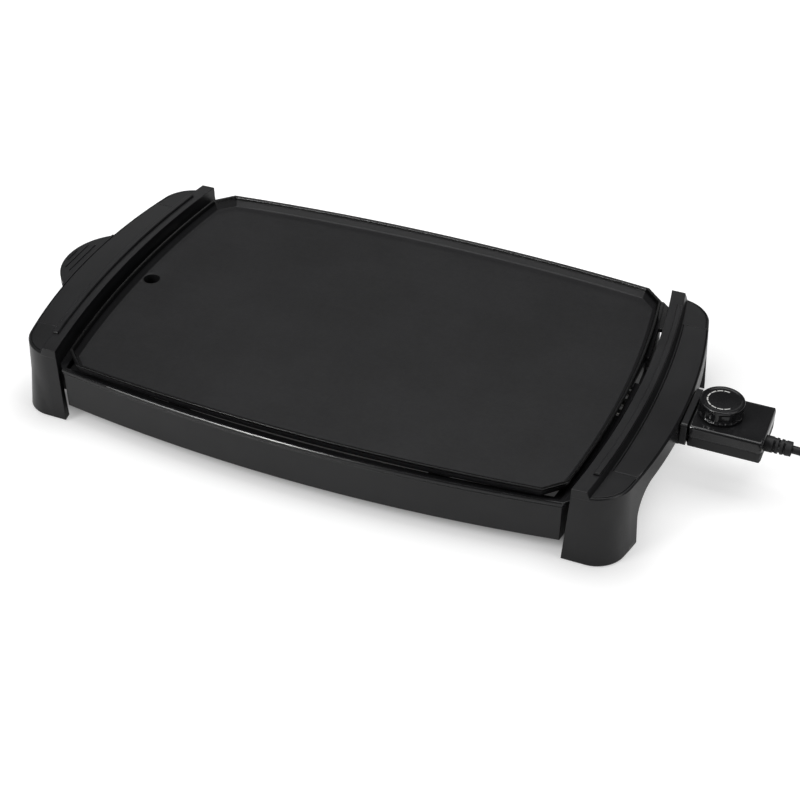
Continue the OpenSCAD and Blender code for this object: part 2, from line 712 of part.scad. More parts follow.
module handle_shell() {
  zb = panel_z - 1;
  wall = handle_wall;
  difference() {
    union() {
      difference() {
        union() {
          handle_form(leg_lift, zb, leg_flare, 0);
          handle_form(leg_lift, zb, leg_flare - 0.05, -4.2, leg_corner_r);
          handle_form(zb - eps, panel_z, 0, -0.8);
          intersection() {
            ridge_ring(0, ridge_foot, ridge_w, panel_z - 2, ridge_top, 2 * leg_half + 2);
            handle_form(leg_lift, ridge_top, leg_flare, 0);
          }
        }
        // hollow
        difference() {
          handle_form(leg_lift - 1, roof_z, leg_flare - wall, -wall);
          rotate([90, 0, 90]) translate([0, 0, hl - 20]) linear_extrude(handle_depth + 60)
            difference() {
              arch(wall);
              translate([-arch_half + arch_r + 6, -10]) square([2 * (arch_half - arch_r - 6), 90]);
            }
        }
        // hollow of the ridge
        ridge_ring(wall, ridge_w - 2.5, ridge_w - 2.5, roof_z - 1, ridge_top - wall, 2 * leg_half - 2 * wall - 4);
      }
      intersection() {
        union() {
          both_y() {
            // foot post with its two webs
            pin(foot_at[0], foot_at[1], foot_h + 0.4, roof_z + eps, 12);
            translate([foot_at[0] - 1, foot_at[1] - leg_wid, 16]) cube([2, 2 * leg_wid, roof_z - 16 + eps]);
            translate([foot_at[0], foot_at[1] - 1, 16]) cube([handle_depth, 2, roof_z - 16 + eps]);
            // boss for the handle screw
            pin(ear_screw[0], ear_screw[1], ear_top, roof_z + eps, 8);
          }
        }
        difference() {
          handle_form(leg_lift - 1, roof_z + eps, leg_flare - wall / 2, -wall / 2);
          rotate([90, 0, 90]) translate([0, 0, hl - 20]) linear_extrude(handle_depth + 60)
            arch(0);
        }
      }
    }
    // arch
    rotate([90, 0, 90]) translate([0, 0, hl - 20]) linear_extrude(handle_depth + 60) arch(0);
    // the legs are open towards the base
    intersection() {
      translate([ridge_x - ridge_bow_r, 0, -1]) cylinder(h = bridge_z + 1, r = ridge_bow_r + 1.7, $fn = bow_fn);
      translate([hl - 40, -leg_half + 4.5, -1]) cube([60, 2 * leg_half - 9, bridge_z + 1]);
    }
    // bed of the grip cover
    cover_bed();
    both_y() {
      pin(foot_at[0], foot_at[1], 0, foot_h + 0.4 + foot_stem_h + 1, foot_stem_d);
      pin(ear_screw[0], ear_screw[1], ear_top - 1, ear_top + 10, screw_d);
      for (y = cover_screw_y)
        pin(cover_screw_x, y, roof_z - 1, recess_z + 1, 7 + 2 * seam_gap);
      for (y = [0, bar_pin_y()]) pin(bar_pin_x(y), y, ridge_top - 2.4, ridge_top + 1, 2.4);
    }
    // shadow line round the end panels
    both_y() cap_line();
  }
}

function bar_mid() = ridge_w - bar_w / 2 - 0.2;
function bar_pin_y() = bar_len / 2 - 8;
function bow_x(y, x0, r) = x0 - r + sqrt(r * r - y * y);
function bar_pin_x(y) = bow_x(y, ridge_x + bar_mid(), ridge_bow_r + bar_mid());

// Groove just inside the edge of the two end panels
module cap_line() {
  intersection() {
    difference() {
      handle_form(panel_z - 0.7, panel_z + 1, -2, -2);
      handle_form(panel_z - 1, panel_z + 2, -2.7, -2.7);
      ridge_ring(-20, ridge_foot + 1, ridge_foot + 1, panel_z - 2, panel_z + 2, 2 * leg_half + 10);
    }
    translate([hl, cover_len / 2 + 2, panel_z - 2]) cube([handle_depth + 40, 60, 5]);
  }
}

// Room for the grip cover in the panel
module cover_bed() {
  intersection() {
    difference() {
      handle_form(recess_z, panel_z + 1, -1.2 + seam_gap, -1.2 + seam_gap);
      ridge_ring(-20, ridge_foot + 0.6, ridge_foot + 0.6, recess_z - 1, panel_z + 2, 2 * leg_half + 10);
    }
    translate([hl, -cover_len / 2, recess_z - 1]) cube([handle_depth + 40, cover_len, 6]);
  }
}

module grip_cover() {
  g = seam_gap;
  difference() {
    union() {
      intersection() {
        difference() {
          union() {
            handle_form(recess_z, panel_z - 0.6, -1.2, -1.2);
            handle_form(panel_z - 0.6 - eps, panel_z, -1.2, -1.8);
          }
          ridge_ring(-20, ridge_foot + 0.6 + g, ridge_foot + 0.6 + g, recess_z - 1, panel_z + 2, 2 * leg_half + 10);
        }
        translate([hl, -cover_len / 2 + g, recess_z - 1]) cube([handle_depth + 40, cover_len - 2 * g, 6]);
      }
      both_y() for (y = cover_screw_y) pin(cover_screw_x, y, roof_z - 1, recess_z + eps, 7);
    }
    both_y() for (y = cover_screw_y) pin(cover_screw_x, y, roof_z - 2, panel_z - 1, screw_d - 0.4);
  }
}

module cover_screw_set() {
  both_y() for (y = cover_screw_y) {
    translate([cover_screw_x, y, roof_z - 1 - 1]) cylinder(h = 1, d = 10);
    screw_up(cover_screw_x, y, roof_z - 2, 5.5, screw_d - 0.4);
  }
}

module ridge_bar() {
  r0 = ridge_w - bar_w - 0.2;
  union() {
    ridge_ring(r0, ridge_w - 0.2, ridge_w - 0.2, ridge_top, ridge_top + bar_h - 0.6, bar_len);
    ridge_ring(r0 + 0.5, ridge_w - 0.2, ridge_w - 0.7, ridge_top + bar_h - 0.6 - eps, ridge_top + bar_h, bar_len - 1);
    both_y() for (y = [0, bar_pin_y()]) pin(bar_pin_x(y), y, ridge_top - 2.2, ridge_top + eps, 2.4);
  }
}

module right_handle() {
  color([0.2, 0.2, 0.205]) difference() {
    union() {
      handle_shell();
      intersection() {
        both_y() pin(guard_screw[0], guard_screw[1], roof_z - 3, roof_z + eps, 7);
        handle_form(leg_lift, roof_z + 1, 0, 0);
      }
    }
    both_y() pin(guard_screw[0], guard_screw[1], roof_z - 4, roof_z + 2.2, screw_d);
    // mouth for the guard in the outer wall
    translate([outer_x - 12, -guard_out - seam_gap, bridge_z - 5])
      cube([20, 2 * guard_out + 2 * seam_gap, roof_z - bridge_z + 5 + eps]);
    // window for the terminals and the probe in the inner wall
    translate([ridge_x - 8, -pin_pitch / 2 - 9, bridge_z - 5])
      cube([16, pin_pitch + 18, roof_z - bridge_z + 4]);
  }
}

module left_handle() {
  color([0.2, 0.2, 0.205]) mirror([1, 0, 0]) handle_shell();
}

module right_grip_cover() {
  color([0.19, 0.19, 0.195]) grip_cover();
}

module left_grip_cover() {
  color([0.19, 0.19, 0.195]) mirror([1, 0, 0]) grip_cover();
}

module right_ridge_bar() {
  color([0.21, 0.21, 0.215]) ridge_bar();
}

module left_ridge_bar() {
  color([0.21, 0.21, 0.215]) mirror([1, 0, 0]) ridge_bar();
}

module handle_screws() {
  color([0.75, 0.75, 0.74]) four() screw_up(ear_screw[0], ear_screw[1], ear_top - ear_t, screw_len);
}

module cover_screws() {
  color([0.75, 0.75, 0.74]) {
    cover_screw_set();
    mirror([1, 0, 0]) cover_screw_set();
  }
}

module terminal_guard() {
  xa = nose_x0 - 2;
  xb = outer_x + 0.5;
  z0 = nose_z0 - free_gap;
  z1 = nose_z1 + free_gap;
  color([0.18, 0.18, 0.185]) difference() {
    union() {
      rblock(xa, xb, -guard_out, guard_out, z0 - guard_wall, z1 + guard_wall, 1.5);
      // collar round the front of the box
      translate([xb - eps, 0, 0]) rotate([90, 0, 90]) linear_extrude(box_gap - 1)
        translate([0, (box_z + box_top + 0.6) / 2]) rrect(2 * collar_out, box_top + 0.6 - box_z, 3);
      // flanges under the panel
      both_y() translate([guard_screw[0] - 6, guard_out - 1, roof_z - 3 - 2.4])
        cube([12, guard_screw[1] + 6 - guard_out, 2.4]);
    }
    rblock(xa - 1, xb + 8, -guard_in, guard_in, z0, z1, 1);
    // open floor under the pins
    rblock(xa + 4, xb - 8, -guard_in + 6, guard_in - 6, z0 - 5, z0 + 1, 2);
    both_y() pin(guard_screw[0], guard_screw[1], roof_z - 7, roof_z, screw_d + 0.4);
    translate([xb - 1, 0, 0]) rotate([90, 0, 90]) linear_extrude(box_gap + 3)
      translate([0, (box_z + box_top) / 2]) rrect(2 * collar_in, box_top - box_z - 4, 2);
  }
}

module guard_screws() {
  color([0.75, 0.75, 0.74]) both_y()
    screw_up(guard_screw[0], guard_screw[1], roof_z - 3 - 2.4, short_len);
}

module rubber_feet() {
  color([0.12, 0.12, 0.12]) four() {
    translate([foot_at[0], foot_at[1], 0]) cylinder(h = 1, d1 = foot_d - 2, d2 = foot_d);
    pin(foot_at[0], foot_at[1], 1 - eps, foot_h + 0.4, foot_d);
    pin(foot_at[0], foot_at[1], foot_h, foot_h + 0.4 + foot_stem_h, foot_stem_d);
  }
}

// ---- drip tray -------------------------------------------------------------------------------

module rail() {
  yt = tray_half + flange_w + seam_gap;
  zt = ear_top - ear_t;
  z1 = tray_top - tray_wall - seam_gap;
  x0 = base_hl + 1;
  x1 = rail_x0 + rail_len;
  translate([rail_x0, 0, 0]) rotate([90, 0, 90]) linear_extrude(rail_len)
    polygon([[yt - flange_w, z1], [yt + rail_t, z1], [yt + rail_t, z1 - rail_t], [yt - flange_w, z1 - rail_t]]);
  translate([rail_x0, 0, 0]) rotate([90, 0, 90]) linear_extrude(rail_len)
    polygon([[yt, z1 - rail_t], [yt + rail_t, z1 - rail_t], [yt + rail_t, zt], [yt, zt]]);
  difference() {
    translate([x0, yt, zt - rail_t]) cube([x1 - x0, ear_y0 + 12 - yt, rail_t]);
    for (x = [base_hl + 4, ear_x1 - 6]) pin(x, ear_y0 + 6, zt - 5, zt + 1, screw_d + 0.3);
  }
}

module tray_rails() {
  color([0.7, 0.7, 0.7]) mirror([1, 0, 0]) both_y() rail();
}

module rail_screws() {
  color([0.75, 0.75, 0.74]) mirror([1, 0, 0]) both_y()
    for (x = [base_hl + 4, ear_x1 - 6]) screw_up(x, ear_y0 + 6, ear_top - ear_t - rail_t, 3.6);
}

// Tray drawn on the right side, then mirrored to the left end
module tray_solid() {
  xo = outer_x - outer_bow_r;
  ri = outer_bow_r + front_gap;
  tr = (tab_half * tab_half + tab_reach * tab_reach) / (2 * tab_reach);
  difference() {
    union() {
      rblock(tray_x0, tray_x1 + 1, -tray_half, tray_half, tray_z, tray_top, 7);
      rblock(tray_x0, tray_x1 - 6, -tray_half - flange_w, tray_half + flange_w,
        tray_top - tray_wall, tray_top, 7);
      // curved front
      intersection() {
        translate([xo, 0, tray_z]) difference() {
          cylinder(h = tab_z - tray_z, r = ri + front_t, $fn = bow_fn);
          translate([0, 0, tray_top - tray_z]) cylinder(h = 90, r = ri, $fn = bow_fn);
          translate([0, 0, -1]) cylinder(h = 90, r = ri - 6, $fn = bow_fn);
        }
        translate([tray_x1 - 9, -tray_half, tray_z]) cube([30, 2 * tray_half, tab_z - tray_z]);
      }
      // pull tab with a turned-down edge
      intersection() {
        translate([tab_x - tr, 0, tab_z - 8]) cylinder(h = 8, r = tr, $fn = 120);
        translate([xo, 0, tab_z - 9]) difference() {
          cylinder(h = 9, r = outer_bow_r + 60, $fn = bow_fn);
          translate([0, 0, -1]) cylinder(h = 12, r = ri, $fn = bow_fn);
        }
        translate([outer_x - 10, -tab_half, tab_z - 8]) cube([60, 2 * tab_half, 8]);
      }
    }
    // basin
    rblock(tray_x0 + tray_wall, tray_x1 - 1, -tray_half + tray_wall, tray_half - tray_wall,
      tray_z + tray_wall, tray_top + 1, 5);
    // hollow under the tab
    intersection() {
      translate([tab_x - tr, 0, tab_z - 10]) cylinder(h = 8 - 0.4, r = tr - 2, $fn = 120);
      translate([xo, 0, tab_z - 12]) difference() {
        cylinder(h = 20, r = outer_bow_r + 60, $fn = bow_fn);
        translate([0, 0, -1]) cylinder(h = 22, r = ri + front_t, $fn = bow_fn);
      }
    }
    // grip grooves
    for (g = [[7, 24], [13.2, 21], [18, 9]])
      rblock(outer_x + g[0] - 0.6, outer_x + g[0] + 0.6, -g[1], g[1], tab_z - 0.8, tab_z + 1, 0.55);
  }
}

module drip_tray() {
  color([0.18, 0.18, 0.185]) mirror([1, 0, 0]) tray_solid();
}

// ---- controller ------------------------------------------------------------------------------

// Block with round upright corners (rp) and round edges (re) between two corners of a box
module soft_block(x0, x1, y0, y1, z0, z1, rp, re) {
  intersection() {
    rblock(x0, x1, y0, y1, z0, z1, rp);
    translate([x0 - 1, (y0 + y1) / 2, (z0 + z1) / 2]) rotate([90, 0, 90])
      linear_extrude(x1 - x0 + 2) rrect(y1 - y0, z1 - z0, re);
    translate([(x0 + x1) / 2, y1 + 1, (z0 + z1) / 2]) rotate([90, 0, 0])
      linear_extrude(y1 - y0 + 2) rrect(x1 - x0, z1 - z0, re);
  }
}

// Outer form of the box and its nose, or of the room inside them
module controller_form(o) {
  y = box_wid / 2;
  n = nose_wid / 2;
  soft_block(box_x0 + o, box_x1 - o, -y + o, y - o, box_z + o, box_top - o, box_r - o / 2, 3 - o / 2);
  soft_block(nose_x0 + o, box_x0 + 8, -n + o, n - o, nose_z0 + o, nose_z1 - o, 2.2 - o / 2, 1.4 - o / 4);
}

module above(z) {
  translate([nose_x0 - 10, -box_wid, z]) cube([nose_len + box_len + 20, 2 * box_wid, 60]);
}

post_at = [[6.5, 1], [box_len - 8, 1], [6.5, -1]];

module housing_posts(z0, z1, d) {
  for (p = post_at)
    pin(box_x0 + p[0], p[1] * (box_wid / 2 - 6.6), z0, z1, d);
}

module relief_hole() {
  xbar(box_x1 - box_wall - 1, box_x1 + 1, relief_y, relief_z, relief_d - 4);
}

module housing_top() {
  color([0.1, 0.1, 0.105]) difference() {
    union() {
      intersection() {
        difference() {
          controller_form(0);
          controller_form(box_wall);
        }
        above(split_z);
      }
      pin(knob_x, 0, box_top - 5, box_top - 1, spindle_d + 8);
      housing_posts(split_z, box_top - 1, 6.4);
    }
    pin(knob_x, 0, split_z, box_top + 1, spindle_d + 2 * run_gap);
    nose_bores();
    housing_posts(split_z - 1, split_z + 7, screw_d - 0.4);
    relief_hole();
  }
}

// Openings in the nose for the sleeves and the probe
module nose_bores() {
  both_y() xbar(nose_x0 - 1, nose_x0 + box_wall + 1, pin_pitch / 2, el_z, pin_d + 1.2);
  xbar(nose_x0 - 1, nose_x0 + box_wall + 1, 0, el_z, probe_d + 3);
}

module housing_bottom() {
  color([0.11, 0.11, 0.115]) difference() {
    union() {
      difference() {
        controller_form(0);
        controller_form(box_wall);
        above(split_z);
      }
      housing_posts(box_z + 1, split_z, 6.4);
    }
    nose_bores();
    housing_posts(box_z - 1, split_z + 1, screw_d);
    housing_posts(box_z - 1, box_z + 3, screw_d * 2);
    relief_hole();
  }
}

module housing_screws() {
  color([0.7, 0.7, 0.69]) for (p = post_at)
    screw_up(box_x0 + p[0], p[1] * (box_wid / 2 - 6.6), box_z + 3, split_z + 6 - box_z - 3, screw_d - 0.4);
}

module probe_tube() {
  color([0.8, 0.8, 0.8]) {
    xbar(probe_tip + 3, box_x0 + 8, 0, el_z, probe_d);
    translate([probe_tip + 3, 0, el_z]) rotate([0, -90, 0])
      cylinder(h = 3, d1 = probe_d, d2 = probe_d - 3);
  }
}

module probe_ferrule() {
  color([0.75, 0.74, 0.7]) difference() {
    union() {
      xbar(nose_x0 - 1.2, nose_x0 + box_wall + 1, 0, el_z, probe_d + 3);
      intersection() {
        xbar(nose_x0 + box_wall + 1, nose_x0 + box_wall + 3, 0, el_z, probe_d + 6);
        translate([nose_x0, -probe_d, nose_z0 + box_wall + 0.2])
          cube([box_wall + 8, 2 * probe_d, nose_z1 - nose_z0 - 2 * box_wall - 0.4]);
      }
      xbar(nose_x0 - 2.4, nose_x0 - 1.2, 0, el_z, probe_d + 1.6);
    }
    xbar(nose_x0 - 4, nose_x0 + 20, 0, el_z, probe_d);
  }
}

module contact_sleeves() {
  color([0.82, 0.7, 0.4]) both_y() difference() {
    union() {
      xbar(sleeve_x0 + 1.4, sleeve_x0 + 1.4 + sleeve_len, pin_pitch / 2, el_z, sleeve_d);
      translate([sleeve_x0 + 1.4 + sleeve_len - eps, pin_pitch / 2 - 2.5, el_z - 0.5]) cube([8, 5, 1]);
    }
    xbar(sleeve_x0, pin_x1 + 1.5, pin_pitch / 2, el_z, pin_d + 2 * run_gap);
  }
}

module contact_block() {
  color([0.85, 0.83, 0.77]) difference() {
    rblock(sleeve_x0 + 8, sleeve_x0 + 20, -nose_wid / 2 + box_wall + 0.4, nose_wid / 2 - box_wall - 0.4,
      nose_z0 + box_wall + 0.35, nose_z1 - box_wall - 0.35, 1);
    both_y() xbar(sleeve_x0, sleeve_x0 + 40, pin_pitch / 2, el_z, sleeve_d);
    xbar(sleeve_x0, sleeve_x0 + 40, 0, el_z, probe_d);
  }
}

module thermostat_base() {
  x0 = box_x0 + 4;
  z0 = box_z + box_wall;
  color([0.5, 0.32, 0.2]) difference() {
    union() {
      rblock(x0, x0 + 38, -11, 11, z0, z0 + 2.4, 2);
      rblock(x0, x0 + 5, -8, 8, z0, el_z + probe_d / 2 + 1.5, 1);
      rblock(x0 + 27, x0 + 38, -6, 6, z0, el_z - 1, 1);
      pin(x0 + 11, 0, z0, el_z - 3.4, 6);
    }
    xbar(x0 - 5, x0 + 6, 0, el_z, probe_d);
    pin(x0 + 32.5, 0, z0 + 1, el_z, 3);
  }
}

module bimetal_leaf() {
  x0 = box_x0 + 4;
  color([0.8, 0.72, 0.5]) {
    rblock(x0 + 8, x0 + 37, -4, 4, el_z - 1, el_z - 0.4, 1.5);
    pin(x0 + 32.5, 0, box_z + box_wall + 1, el_z - 0.4 + 1, 3);
    pin(x0 + 11, 0, el_z - 3, el_z - 1 + eps, 4);
    pin(knob_x, 0, el_z - 0.4 - eps, el_z + 0.2, 4);
  }
}

// Two sleeved wires from the contact sleeves to the cord's end
module inner_wires() {
  d = 2.6;
  z = el_z + 0.5 + d / 2;
  x0 = sleeve_x0 + sleeve_len + 5;
  y = pin_pitch / 2 - 1;
  xe = relief_x1 - 41.4;
  color([0.25, 0.35, 0.7]) {
    tube([[x0, y, z], [x0 + 6, y, z], [box_x0 + 6, y - 3, z + 0.3], [box_x0 + 20, 10, z + 1.4],
      [box_x0 + 34, 7, z + 2], [xe - 3, relief_y + 2.4, relief_z + 0.2], [xe, relief_y + 1.7, relief_z]], d / 2, 8);
    tube([[x0, -y, z], [x0 + 6, -y, z], [box_x0 + 6, -y + 2, z + 0.3], [box_x0 + 20, -11.4, z + 1],
      [box_x0 + 34, -11.2, z + 1], [xe - 3, relief_y - 2, relief_z + 0.2], [xe, relief_y - 1.7, relief_z]], d / 2, 8);
  }
}

module cord_clamp() {
  color([0.3, 0.3, 0.3]) difference() {
    rblock(box_x1 - 13, box_x1 - box_wall - 4, relief_y - 9.5, relief_y + 9.5, box_z + box_wall, relief_z + 5, 1.5);
    xbar(box_x1 - 20, box_x1, relief_y, relief_z, cord_d);
  }
}

// Tapered relief with three collars and slots between them
module strain_relief() {
  xi = box_x1 - box_wall;
  color([0.1, 0.1, 0.1]) difference() {
    union() {
      xbar(xi - 2, xi, relief_y, relief_z, relief_d - 2.2);
      xbar(xi - eps, box_x1 + eps, relief_y, relief_z, relief_d - 4);
      translate([box_x1, relief_y, relief_z]) rotate([0, 90, 0])
        cylinder(h = relief_len, d1 = relief_d - 3.4, d2 = cord_d + 2.4);
      for (i = [0, 1, 2])
        translate([box_x1 + i * relief_len * 0.36, relief_y, relief_z]) rotate([0, 90, 0])
          cylinder(h = relief_len * 0.27, d1 = relief_d - i * 0.8, d2 = relief_d - 0.5 - i * 0.8);
    }
    xbar(box_x1 - 20, relief_x1 + 1, relief_y, relief_z, cord_d);
  }
}

module control_knob() {
  n = 10;
  sk = 3.2;
  color([0.09, 0.09, 0.095]) difference() {
    union() {
      pin(knob_x, 0, knob_z, knob_z + sk - 0.6, knob_d);
      translate([knob_x, 0, knob_z + sk - 0.6 - eps]) cylinder(h = 0.6, d1 = knob_d, d2 = knob_d - 0.6);
      translate([knob_x, 0, knob_z + sk - eps])
        cylinder(h = knob_h - sk - 0.8, d1 = knob_top_d + 0.6, d2 = knob_top_d);
      translate([knob_x, 0, knob_z + knob_h - 0.8 - 2 * eps])
        cylinder(h = 0.8, d1 = knob_top_d, d2 = knob_top_d - 1.6);
    }
    // shallow flutes in the grip
    for (i = [0 : n - 1]) rotate_about(knob_x, 0, i * 360 / n + 12)
      pin(knob_top_d / 2 + 8.2, 0, knob_z + sk, knob_z + knob_h - 2.4, 18);
    // dished top
    pin(knob_x, 0, knob_z + knob_h - 0.5, knob_z + knob_h + 1, knob_top_d - 4.4);
    // hollow underside round the hub
    difference() {
      pin(knob_x, 0, knob_z - 1, knob_z + knob_h - 3, knob_top_d - 7);
      pin(knob_x, 0, knob_z - 2, knob_z + knob_h, spindle_d + 5);
    }
    pin(knob_x, 0, knob_z - 1, knob_z + knob_h - 4, spindle_d);
  }
}

module rotate_about(x, y, a) {
  translate([x, y, 0]) rotate([0, 0, a]) children();
}

module knob_spindle() {
  color([0.75, 0.72, 0.62]) {
    pin(knob_x, 0, el_z + 0.5, knob_z + knob_h - 4, spindle_d);
    pin(knob_x, 0, box_top - 8, box_top - 5.3, spindle_d + 3);
  }
}

// ---- cord ------------------------------------------------------------------------------------

function vunit(v) = v / norm(v);
function tangent(p, i) = vunit(p[min(i + 1, len(p) - 1)] - p[max(i - 1, 0)]);

// Tube of n sides swept through the points p
module tube(p, r, n) {
  pts = [for (i = [0 : len(p) - 1])
    let (t = tangent(p, i), s = vunit(cross(t, [0, 0, 1])), u = cross(s, t))
    for (k = [0 : n - 1]) p[i] + s * r * cos(k * 360 / n) + u * r * sin(k * 360 / n)];
  sides = [for (i = [0 : len(p) - 2], k = [0 : n - 1])
    [i * n + k, i * n + (k + 1) % n, (i + 1) * n + (k + 1) % n, (i + 1) * n + k]];
  polyhedron(points = pts,
    faces = concat([[for (k = [n - 1 : -1 : 0]) k]], sides,
      [[for (k = [0 : n - 1]) (len(p) - 1) * n + k]]), convexity = 6);
}

module power_cord() {
  p = [for (q = route) [relief_x1 + q[0], relief_y + q[1], relief_z + q[2]]];
  color([0.08, 0.08, 0.08]) tube(p, cord_r, 10);
}

module cord_coil() {
  color([0.08, 0.08, 0.08]) translate([coil_c[0], coil_c[1], coil_z]) rotate_extrude($fn = 96)
    translate([coil_mean, 0]) rrect(2 * cord_d, 2 * cord_d, cord_r);
}

module cord_tie() {
  color([0.15, 0.15, 0.15]) translate([coil_c[0] + coil_mean, coil_c[1], coil_z]) rotate([90, 0, 0])
    linear_extrude(3, center = true) difference() {
      rrect(2 * cord_d + 2 * tie_t + 0.2, 2 * cord_d + 2 * tie_t + 0.2, cord_r + tie_t);
      rrect(2 * cord_d + 0.2, 2 * cord_d + 0.2, cord_r);
    }
}

// Moulded in-line plug that lies on the coil, its blades towards the front
module plug_body() {
  x = plug_c[0];
  y = plug_c[1];
  color([0.08, 0.08, 0.08]) difference() {
    union() {
      soft_block(x - plug_w / 2, x + plug_w / 2, y - plug_len / 2, y + plug_len / 2,
        plug_z - plug_t / 2, plug_z + plug_t / 2, 5, 6);
      translate([x, y + plug_len / 2 - 1, plug_z]) rotate([-90, 0, 0])
        cylinder(h = 16, d1 = 15, d2 = cord_d + 2.4);
    }
    for (i = [0, 1, 2])
      translate([x, y + plug_len / 2 + 3 + 4 * i, plug_z]) rotate([-90, 0, 0]) difference() {
        cylinder(h = 1.6, d = 20);
        translate([0, 0, -1]) cylinder(h = 4, d = cord_d + 2);
      }
    blades(4);
  }
}

// Two slanted flat blades and the earth blade, sunk by z into the plug's face
module blades(z) {
  translate([plug_c[0], plug_c[1] - plug_len / 2, plug_z + 2]) rotate([90, 0, 0]) {
    for (s = [-1, 1]) translate([s * 6.86, 3.96, -z]) rotate([0, 0, s * 30])
      linear_extrude(z + 17.4) rrect(1.6, 6.3, 0.7);
    translate([0, -10.3, -z]) linear_extrude(z + 20) rrect(1.6, 6.3, 0.7);
  }
}

module plug_pins() {
  color([0.8, 0.75, 0.5]) blades(4);
}

module place() {
  translate([origin_x, 0, 0]) children();
}

place() griddle_plate();
place() heating_element();
place() terminal_pins();
place() terminal_insulators();
place() element_clamps();
place() clamp_screws();
place() heat_reflector();
place() reflector_screws();
place() base_frame();
place() plate_brackets();
place() plate_screws();
place() bracket_screws();
place() left_handle();
place() right_handle();
place() handle_screws();
place() left_grip_cover();
place() right_grip_cover();
place() cover_screws();
place() left_ridge_bar();
place() right_ridge_bar();
place() terminal_guard();
place() guard_screws();
place() rubber_feet();
place() tray_rails();
place() rail_screws();
place() drip_tray();
place() housing_top();
place() housing_bottom();
place() housing_screws();
place() probe_tube();
place() probe_ferrule();
place() contact_sleeves();
place() contact_block();
place() thermostat_base();
place() bimetal_leaf();
place() inner_wires();
place() cord_clamp();
place() strain_relief();
place() control_knob();
place() knob_spindle();
place() power_cord();
place() cord_coil();
place() cord_tie();
place() plug_body();
place() plug_pins();
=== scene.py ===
"""Looks of an electric griddle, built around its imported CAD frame.

Each sub-assembly is a class that makes its surfaces with numpy and dresses them in a named finish.
Lengths are in metres, in the frame's own axes: X towards the controller, Y to the back, Z up.
"""

import logging
import math
from dataclasses import dataclass, field
from enum import Enum
from typing import Any

import bpy
import numpy as np
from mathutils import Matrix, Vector


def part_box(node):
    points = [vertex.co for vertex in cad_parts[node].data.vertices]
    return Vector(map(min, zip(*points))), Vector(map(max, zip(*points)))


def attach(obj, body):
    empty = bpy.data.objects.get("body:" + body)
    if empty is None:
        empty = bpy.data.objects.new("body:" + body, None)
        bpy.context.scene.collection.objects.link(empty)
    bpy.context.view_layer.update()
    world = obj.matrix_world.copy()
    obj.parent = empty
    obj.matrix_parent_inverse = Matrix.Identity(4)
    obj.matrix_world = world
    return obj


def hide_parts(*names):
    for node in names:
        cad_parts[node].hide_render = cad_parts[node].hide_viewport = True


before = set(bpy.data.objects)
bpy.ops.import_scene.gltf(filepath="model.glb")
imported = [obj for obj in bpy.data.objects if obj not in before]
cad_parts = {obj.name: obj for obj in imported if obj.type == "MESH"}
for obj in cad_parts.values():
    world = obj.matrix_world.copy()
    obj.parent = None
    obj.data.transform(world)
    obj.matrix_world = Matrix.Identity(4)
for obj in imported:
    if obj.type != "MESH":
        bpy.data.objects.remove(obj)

log = logging.getLogger("griddle")
Array = np.ndarray
Colour = tuple[float, float, float]


# ---- shader writing ---------------------------------------------------------------------------


class Wire:
    """One output socket of a node; Python's operators on it add Math nodes."""

    def __init__(self, sheet: "NodeSheet", socket: bpy.types.NodeSocket) -> None:
        """Keeps the sheet that the socket's node lies on."""
        self.sheet = sheet
        self.socket = socket

    def _math(self, operation: str, first: Any, second: Any = None, clamp: bool = False) -> "Wire":
        """Adds one Math node.

        Args:
            operation: Blender's name of the operation.
            first: First operand, a Wire or a number.
            second: Second operand, or None for operations of one operand.
            clamp: Whether the result is kept between 0 and 1.

        Returns:
            The node's result.
        """
        values = {0: first} if second is None else {0: first, 1: second}
        settings = {"operation": operation, "use_clamp": clamp}
        return self.sheet.node("ShaderNodeMath", settings, values)

    def __add__(self, other: Any) -> "Wire":
        """Sum."""
        return self._math("ADD", self, other)

    __radd__ = __add__

    def __sub__(self, other: Any) -> "Wire":
        """Difference."""
        return self._math("SUBTRACT", self, other)

    def __rsub__(self, other: Any) -> "Wire":
        """Reflected difference."""
        return self._math("SUBTRACT", other, self)

    def __mul__(self, other: Any) -> "Wire":
        """Product."""
        return self._math("MULTIPLY", self, other)

    __rmul__ = __mul__

    def __truediv__(self, other: Any) -> "Wire":
        """Quotient."""
        return self._math("DIVIDE", self, other)

    def __pow__(self, other: Any) -> "Wire":
        """Power."""
        return self._math("POWER", self, other)

    def __rpow__(self, other: Any) -> "Wire":
        """A number raised to this power."""
        return self._math("POWER", other, self)

    def axis(self, number: int) -> "Wire":
        """One coordinate of a vector."""
        return self.sheet.node("ShaderNodeSeparateXYZ", inputs={0: self}, out=number)

    def size(self) -> "Wire":
        """The value without its sign."""
        return self._math("ABSOLUTE", self)

    def angle(self, ahead: "Wire") -> "Wire":
        """Angle in radians of the point that lies ahead and, by this value, aside."""
        return self._math("ARCTAN2", self, ahead)

    def part(self) -> "Wire":
        """What is left after the whole number."""
        return self._math("FRACT", self)

    def over(self, level: float) -> "Wire":
        """The value, or the level where that is higher."""
        return self._math("MAXIMUM", self, level)

    def clamped(self) -> "Wire":
        """The value kept between 0 and 1."""
        return self._math("ADD", self, 0.0, clamp=True)

    def above(self, level: float) -> "Wire":
        """1 where the value is above a level, otherwise 0."""
        return self._math("GREATER_THAN", self, level)

    def step(self, low: float, high: float) -> "Wire":
        """A smooth climb from 0 at low to 1 at high."""
        return self.sheet.node(
            "ShaderNodeMapRange", {"interpolation_type": "SMOOTHSTEP", "clamp": True},
            {"Value": self, "From Min": low, "From Max": high})


